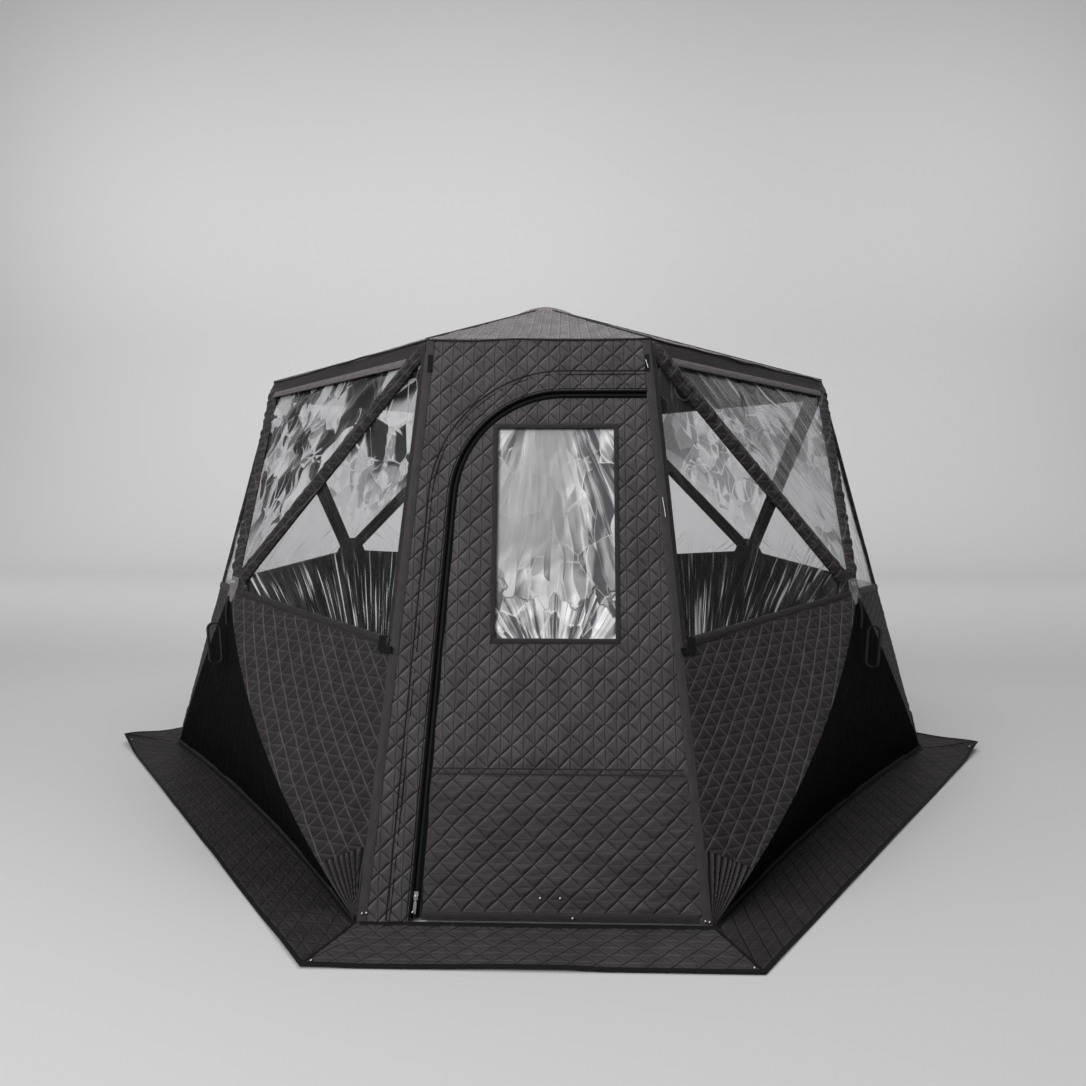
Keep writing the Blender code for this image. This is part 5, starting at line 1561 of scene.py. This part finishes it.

# %% [markdown]
# Bindings on the hub walls: a raised band along each sill, where the clear part
# starts, a hem along the foot, and patches over the hub with their eyelets.

# %% Bindings, patches and straps on the hub walls
def panel_band(wall, k, start, end, name, section, made):
    """A band along a straight flat line of a panel."""
    piece = sweep(name, wall.place(k, line(start, end), -0.0006), wall.panels[k].out, section, made)
    wall.hang(finish(piece, "quilted_cloth"), k)


def panel_stitches(wall, k, start, end, name, lift_by):
    """Stitches along a straight flat line of a panel."""
    piece = stitching(name, wall.place(k, line(start, end), -lift_by), wall.panels[k].out)
    wall.hang(finish(piece, "quilted_cloth"), k)


eyelet_profile = [(0.0034, 0.0004), (0.0040, 0.0014), (0.0056, 0.0018), (0.0072, 0.0010), (0.0076, 0.0)]
eyelet_shape = lathe(eyelet_profile, 18)
loop_drop, loop_half, loop_round = 0.130, 0.075, 0.020       # of a pull loop: place, half length, end
patch_reach = 0.062                                          # of a cloth patch from its hub
for wall in walls.values():
    for k in (1, 3):
        start, end, hub = wall.panels[k].flat
        sill, head = wall.sill(k), (end if k == 1 else start)
        run = unit(hub - sill)
        up = np.array((-run[1], run[0])) * (1 if (head - sill) @ (-run[1], run[0]) > 0 else -1)
        length = np.linalg.norm(hub - sill)
        low, high = sill + run * 0.004, sill + run * (length - 0.045)
        side = "a" if k == 1 else "b"
        panel_band(wall, k, low - up * 0.003, high - up * 0.003, f"sill_band_{wall.name}_{side}",
                   band(0.025, 0.0042), band_cloth)
        for label, rise in (("top", 0.0055), ("foot", -0.0115)):
            panel_stitches(wall, k, low + up * rise, high + up * rise,
                           f"sill_stitches_{label}_{wall.name}_{side}", 0.0044)
    foot_a, foot_b, _ = wall.panels[0].flat
    panel_band(wall, 0, foot_a + (0.004, 0.011), foot_b + (-0.004, 0.011), f"foot_hem_{wall.name}",
               band(0.020, 0.0026), band_cloth)
    head_a, head_b, _ = wall.panels[2].flat
    # The wide valance band is painted light, a painted highlight of the fold, over a thin dark band.
    for number, (drop, width, made) in enumerate(((0.016, 0.031, hem_painted_highlight_cloth), (0.033, 0.005, band_cloth))):
        level = valance - drop
        panel_band(wall, 2, head_a + (level * 1.25, level), head_b + (-level * 1.25, level),
                   f"valance_hem_{wall.name}_{number}", band(width, 0.0030), made)
    for k in range(4):
        start, end, hub = wall.panels[k].flat
        loop = np.array([hub, hub + unit(start - hub) * patch_reach, hub + unit(end - hub) * patch_reach])
        points, faces = cut(loop, step=0.006)
        gap = edge_gap(points, [(loop[1], loop[2])])
        thick = 0.0026 + 0.0008 * np.clip(gap / 0.006, 0, 1)
        # The patch is painted light grey: painted sheen.
        piece = solid(f"hub_patch_{wall.name}_{k}", faces, wall.place(k, points, -thick),
                      wall.place(k, points, -0.0004), points, patch_painted_sheen_cloth)
        wall.hang(finish(piece, "quilted_cloth"), k)
        panel_stitches(wall, k, loop[1] * 0.9 + hub * 0.1, loop[2] * 0.9 + hub * 0.1,
                       f"hub_patch_stitches_{wall.name}_{k}", 0.0036)
    panel = wall.panels[2]
    down = unit((panel.flat[0] + panel.flat[1]) / 2 - panel.flat[2])
    spots = np.array([panel.flat[2] + down * 0.030 + np.array((s, 0.0)) for s in (-0.006, 0.018)])
    eyelets = repeat(f"eyelets_{wall.name}", *eyelet_shape, wall.place(2, spots, -0.0034), panel.along,
                     panel.out, steel)
    wall.hang(finish(eyelets, "bright_steel"), 2)

    panel = wall.panels[0]
    start, end, hub = panel.flat
    down = unit((start + end) / 2 - hub)
    strap = line(hub + down * 0.026, hub + down * 0.132, 0.008)
    sway = np.linspace(0, np.pi, len(strap))
    height = 0.0040 + 0.006 * np.sin(sway)
    piece = sweep(f"pull_strap_{wall.name}", wall.place(0, strap, -height), panel.out, band(0.025, 0.0024),
                  webbing)
    wall.hang(finish(piece, "black_webbing"), 0)
    centre = hub + down * (loop_drop + loop_half)
    straight = loop_half - loop_round
    turn = np.linspace(0, np.pi, 13)
    top = np.stack([straight + loop_round * np.sin(turn), loop_round * np.cos(turn)], axis=1)
    far = -top
    oval = np.vstack([top, line(top[-1], far[0], 0.012)[1:-1], far, line(far[-1], top[0], 0.012)[1:-1]])
    origin = wall.place(0, centre, -0.0480)[0]
    path = origin + np.outer(oval[:, 0], panel.across) + np.outer(oval[:, 1], panel.out)
    tangent = unit_rows(np.roll(path, -1, axis=0) - np.roll(path, 1, axis=0))
    normal = np.cross(np.broadcast_to(panel.along, tangent.shape), tangent)
    piece = sweep(f"pull_loop_webbing_{wall.name}", path, normal, band(0.025, 0.0040), webbing, closed=True)
    wall.hang(finish(piece, "black_webbing", "pull_loop_" + wall.name), 0)
print("hub wall fittings made")

# %% [markdown]
# Rods are drawn glass fibre with a nylon ferrule at the hub and a rubber tip at
# the corner. Each one is laid along its ridge and bowed with the cloth.

# %% Rods
corner_labels = ("front", "side", "back", "back", "side", "front")
roof_labels = ("front_right", "right", "back_right", "back_left", "left", "front_left")
rod_sides, shaft_marks = 10, 26                  # points round a rod, and places along its shaft


def rod(name, path, normal, node):
    """A rod of changing thickness: 6.2 mm ferrule, 5.5 mm shaft and 7.5 mm tip radius."""
    far = lengths(path)
    marks = np.concatenate([[0, 0.0449, 0.0451], np.linspace(0.06, far[-1] - 0.033, shaft_marks),
                            [far[-1] - 0.0321, far[-1] - 0.0319, far[-1] - 0.003, far[-1]]])
    points = at_marks(path, marks)
    radii = np.concatenate([[0.0062, 0.0062, 0.0055], np.full(shaft_marks, 0.0055),
                            [0.0055, 0.0075, 0.0075, 0.0048]])
    piece = sweep(name, points, normal, tube(1.0, rod_sides), rod_fibre, scale=radii)
    piece.data.materials.append(nylon)
    piece.data.materials.append(rubber)
    number = np.zeros(len(piece.data.polygons), np.int32)
    ring, fan = 2 * rod_sides, rod_sides - 2         # triangles between two rings, and on an end
    number[:2 * ring] = 1
    number[ring * (len(marks) - 4):] = 2
    number[-2 * fan:-fan] = 1
    piece.data.polygons.foreach_set("material_index", number)
    return finish(piece, "glass_fibre", node)


for wall in walls.values():
    index = hub_walls[wall.name]
    sink = wall.out * 0.0125
    for corner in range(4):
        k = 0 if corner < 2 else 2
        spot = wall.panels[k].flat[corner - k]
        hub = wall.panels[k].flat[2]
        length = np.linalg.norm(hub - spot)
        shares = np.linspace(1 - 0.034 / length, 0.064 / length, 60)
        path = wall.place(k, spot + (hub - spot) * shares[:, None], cloth) - sink
        level = "lower" if corner < 2 else "upper"
        label = corner_labels[index + (corner in (1, 2))]
        piece = rod(f"bent_rod_{wall.name}_{level}_{label}", path, wall.out,
                    f"rod_{wall.name}_{level}_{label}")
        wall.hang(piece, k)
for index, label in enumerate(roof_labels):
    panel = roof_panels[index]
    length = np.linalg.norm(panel.flat[2] - panel.flat[0])
    shares = np.linspace(1 - 0.052 / length, 0.115 / length, 60)
    path = panel.lift(panel.flat[0] + (panel.flat[2] - panel.flat[0]) * shares[:, None], cloth)
    piece = rod(f"bent_rod_roof_{label}", path - np.array((0, 0, 0.0105)), (0, 0, 1), f"rod_roof_{label}")
    hang_roof(piece, panel)
for name in ("front_right", "back_right", "back_left", "front_left", "roof"):
    dress(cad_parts["hub_" + name], nylon)
print("rods and hubs made")

# %% [markdown]
# Small metal and webbing parts: studs that close the hems at the ground, folded
# tabs beside the front wall's corners and under its eaves, and two slim toggles.

# %% Studs and tabs
stud_profile = [(0.0, 0.0034), (0.0022, 0.0031), (0.0040, 0.0018), (0.0046, 0.0004), (0.0046, -0.0006)]
stud_shape = lathe(stud_profile)
wall_studs = np.array([(-0.500, 0.030), (-0.487, 0.032), (-0.352, 0.036), (0.4935, 0.022), (0.5055, 0.020)])
door_studs = np.array([(0.018, 0.078), (0.076, 0.078), (0.112, 0.026)])
stud_lift, door_stud_lift = 0.0046, 0.0062       # of a stud over the face of the front wall
on_shell(repeat("studs_front_wall", *stud_shape, front.lift(wall_studs, -stud_lift), (1, 0, 0), front.out,
                steel), "bright_steel")
on_shell(repeat("studs_door", *stud_shape, front.lift(door_studs, -door_stud_lift), (1, 0, 0), front.out,
                steel), "bright_steel", "door")
stud_inset = 0.010                               # of the skirt's studs from its edge
stud_corners = [0, 5, 1, 4]                      # of the plan, two in front and two at the sides
plan_studs = offset_ring(-skirt_width + stud_inset)[stud_corners]
plan_studs = plan_studs + np.array([(-0.02, 0.006), (0.02, 0.006), (-0.05, -0.05), (0.05, -0.05)])
places = np.column_stack([plan_studs, skirt_cloth + 0.0035 + skirt_rise(plan_studs)])
on_shell(repeat("studs_skirt", *stud_shape, places, (1, 0, 0), (0, 0, 1), steel), "bright_steel")

for wall_name, k, label in (("front_right", 3, "right"), ("front_left", 1, "left")):
    wall = walls[wall_name]
    panel = wall.panels[k]
    sill = wall.sill(k)
    side = -1 if k == 1 else 1
    for number, (width, tall, drop, low, depth) in enumerate(((0.046, 0.030, 0.004, 0.004, 0.0062),
                                                              (0.020, 0.050, 0.022, -0.026, 0.0092))):
        middle = sill + np.array((side * drop, 0.012 + low))
        loop = middle + np.array([(-width / 2, 0), (width / 2, 0), (width / 2, tall), (-width / 2, tall)])
        points, faces = cut(loop, step=0.004)
        fold = depth + 0.0016 * noise(points[:, 0], points[:, 1], 0.012, 5)
        piece = solid(f"corner_tab_{label}_{number}", faces, panel.lift(points, -fold),
                      panel.lift(points, -0.0046 if number else -0.0004), points, webbing)
        on_shell(piece, "black_webbing", "shell", "corner_tab_" + label)
tab_place, tab_half, tab_foot, tab_head = 0.3535, 0.007, 1.640, 1.695
for side, label in ((-1, "left"), (1, "right")):
    loop = front_flat(side * tab_place + np.array((-tab_half, tab_half, tab_half, -tab_half)),
                      np.array((tab_foot, tab_foot, tab_head, tab_head)))
    points, faces = cut(loop, step=0.004)
    piece = solid(f"eaves_tab_{label}", faces, front.lift(points, -0.0070), front.lift(points, -0.0030),
                  points, webbing)
    on_shell(piece, "black_webbing")
toggles = (((0.3951, 1.2338), (0.4038, 1.1714)), ((0.3502, 1.6766), (0.3573, 1.6500)))
for number, (upper_end, lower_end) in enumerate(toggles):
    path = front.lift(line(upper_end, lower_end, 0.01), -0.0064)
    on_shell(sweep(f"toggle_{number}", path, front.out, tube(0.0019, 8), steel), "bright_steel")
print("studs and tabs made")

# %% [markdown]
# The room: one sheet that is floor and backdrop, large soft lights, and a pale
# surround. The floor is darker to light that bounces, so the panels that face
# down stay nearly black, as they do in the picture.

# %% Room and lights
room, tree = new_material("studio_paper")
ray = add(tree, "LightPath").outputs
seen = add(tree, "Math", [ray["Is Camera Ray"], ray["Is Glossy Ray"]], operation="MAXIMUM")
seen = add(tree, "Math", [seen, ray["Is Transmission Ray"]], operation="MAXIMUM")
tint = add(tree, "Mix", {"Factor": seen, "A": linear("#3A3A3A"), "B": linear("#D6D5D6")}, data_type="RGBA")
shader = add(tree, "BsdfPrincipled", {"Base Color": tint.outputs["Result"], "Roughness": 0.9,
                                      "Specular IOR Level": 0.0})
add(tree, "OutputMaterial", {"Surface": shader})

depth_line = np.concatenate([np.linspace(-14, 7, 40), 7 + 4 * np.sin(np.linspace(0, np.pi / 2, 16)[1:]),
                             np.full(12, 11.0)])
rise_line = np.concatenate([np.zeros(40), 4 - 4 * np.cos(np.linspace(0, np.pi / 2, 16)[1:]),
                            np.linspace(4, 16, 13)[1:]])
across_line = np.linspace(-16, 16, 33)
sheet_points = np.stack(np.broadcast_arrays(across_line[None, :], depth_line[:, None], rise_line[:, None]),
                        axis=-1)
paper = mesh_piece("studio_paper", sheet_points.reshape(-1, 3),
                   grid_faces(len(depth_line), len(across_line))[:, ::-1],
                   sheet_points.reshape(-1, 3)[:, :2], room)
paper.location.z = -0.0005


def soft_light(name, place, aim, size, watts):
    """A square area light that looks at a point."""
    data = bpy.data.lights.new(name, "AREA")
    data.size, data.energy = size, watts
    lamp = bpy.data.objects.new(name, data)
    lamp.location = place
    lamp.rotation_euler = (Vector(aim) - Vector(place)).to_track_quat("-Z", "Y").to_euler()
    scene.collection.objects.link(lamp)


soft_light("front", (-3.3, -6.2, 4.4), (0, 0, 0.8), 4.0, 300)
soft_light("top", (0.5, -0.6, 6.6), (0, -0.4, 0), 6.5, 240)
for name, across, watts in (("left", -8.6, 380), ("middle", -0.6, 270), ("right", 8.6, 345)):
    soft_light("backdrop_" + name, (across, 3.5, 6.6), (across * 0.7, 11, 4.6), 5.0, watts)
world = bpy.data.worlds.new("studio")
world.use_nodes = True
world.node_tree.nodes["Background"].inputs["Color"].default_value = (1, 1, 1, 1)
world.node_tree.nodes["Background"].inputs["Strength"].default_value = 0.20
scene.world = world
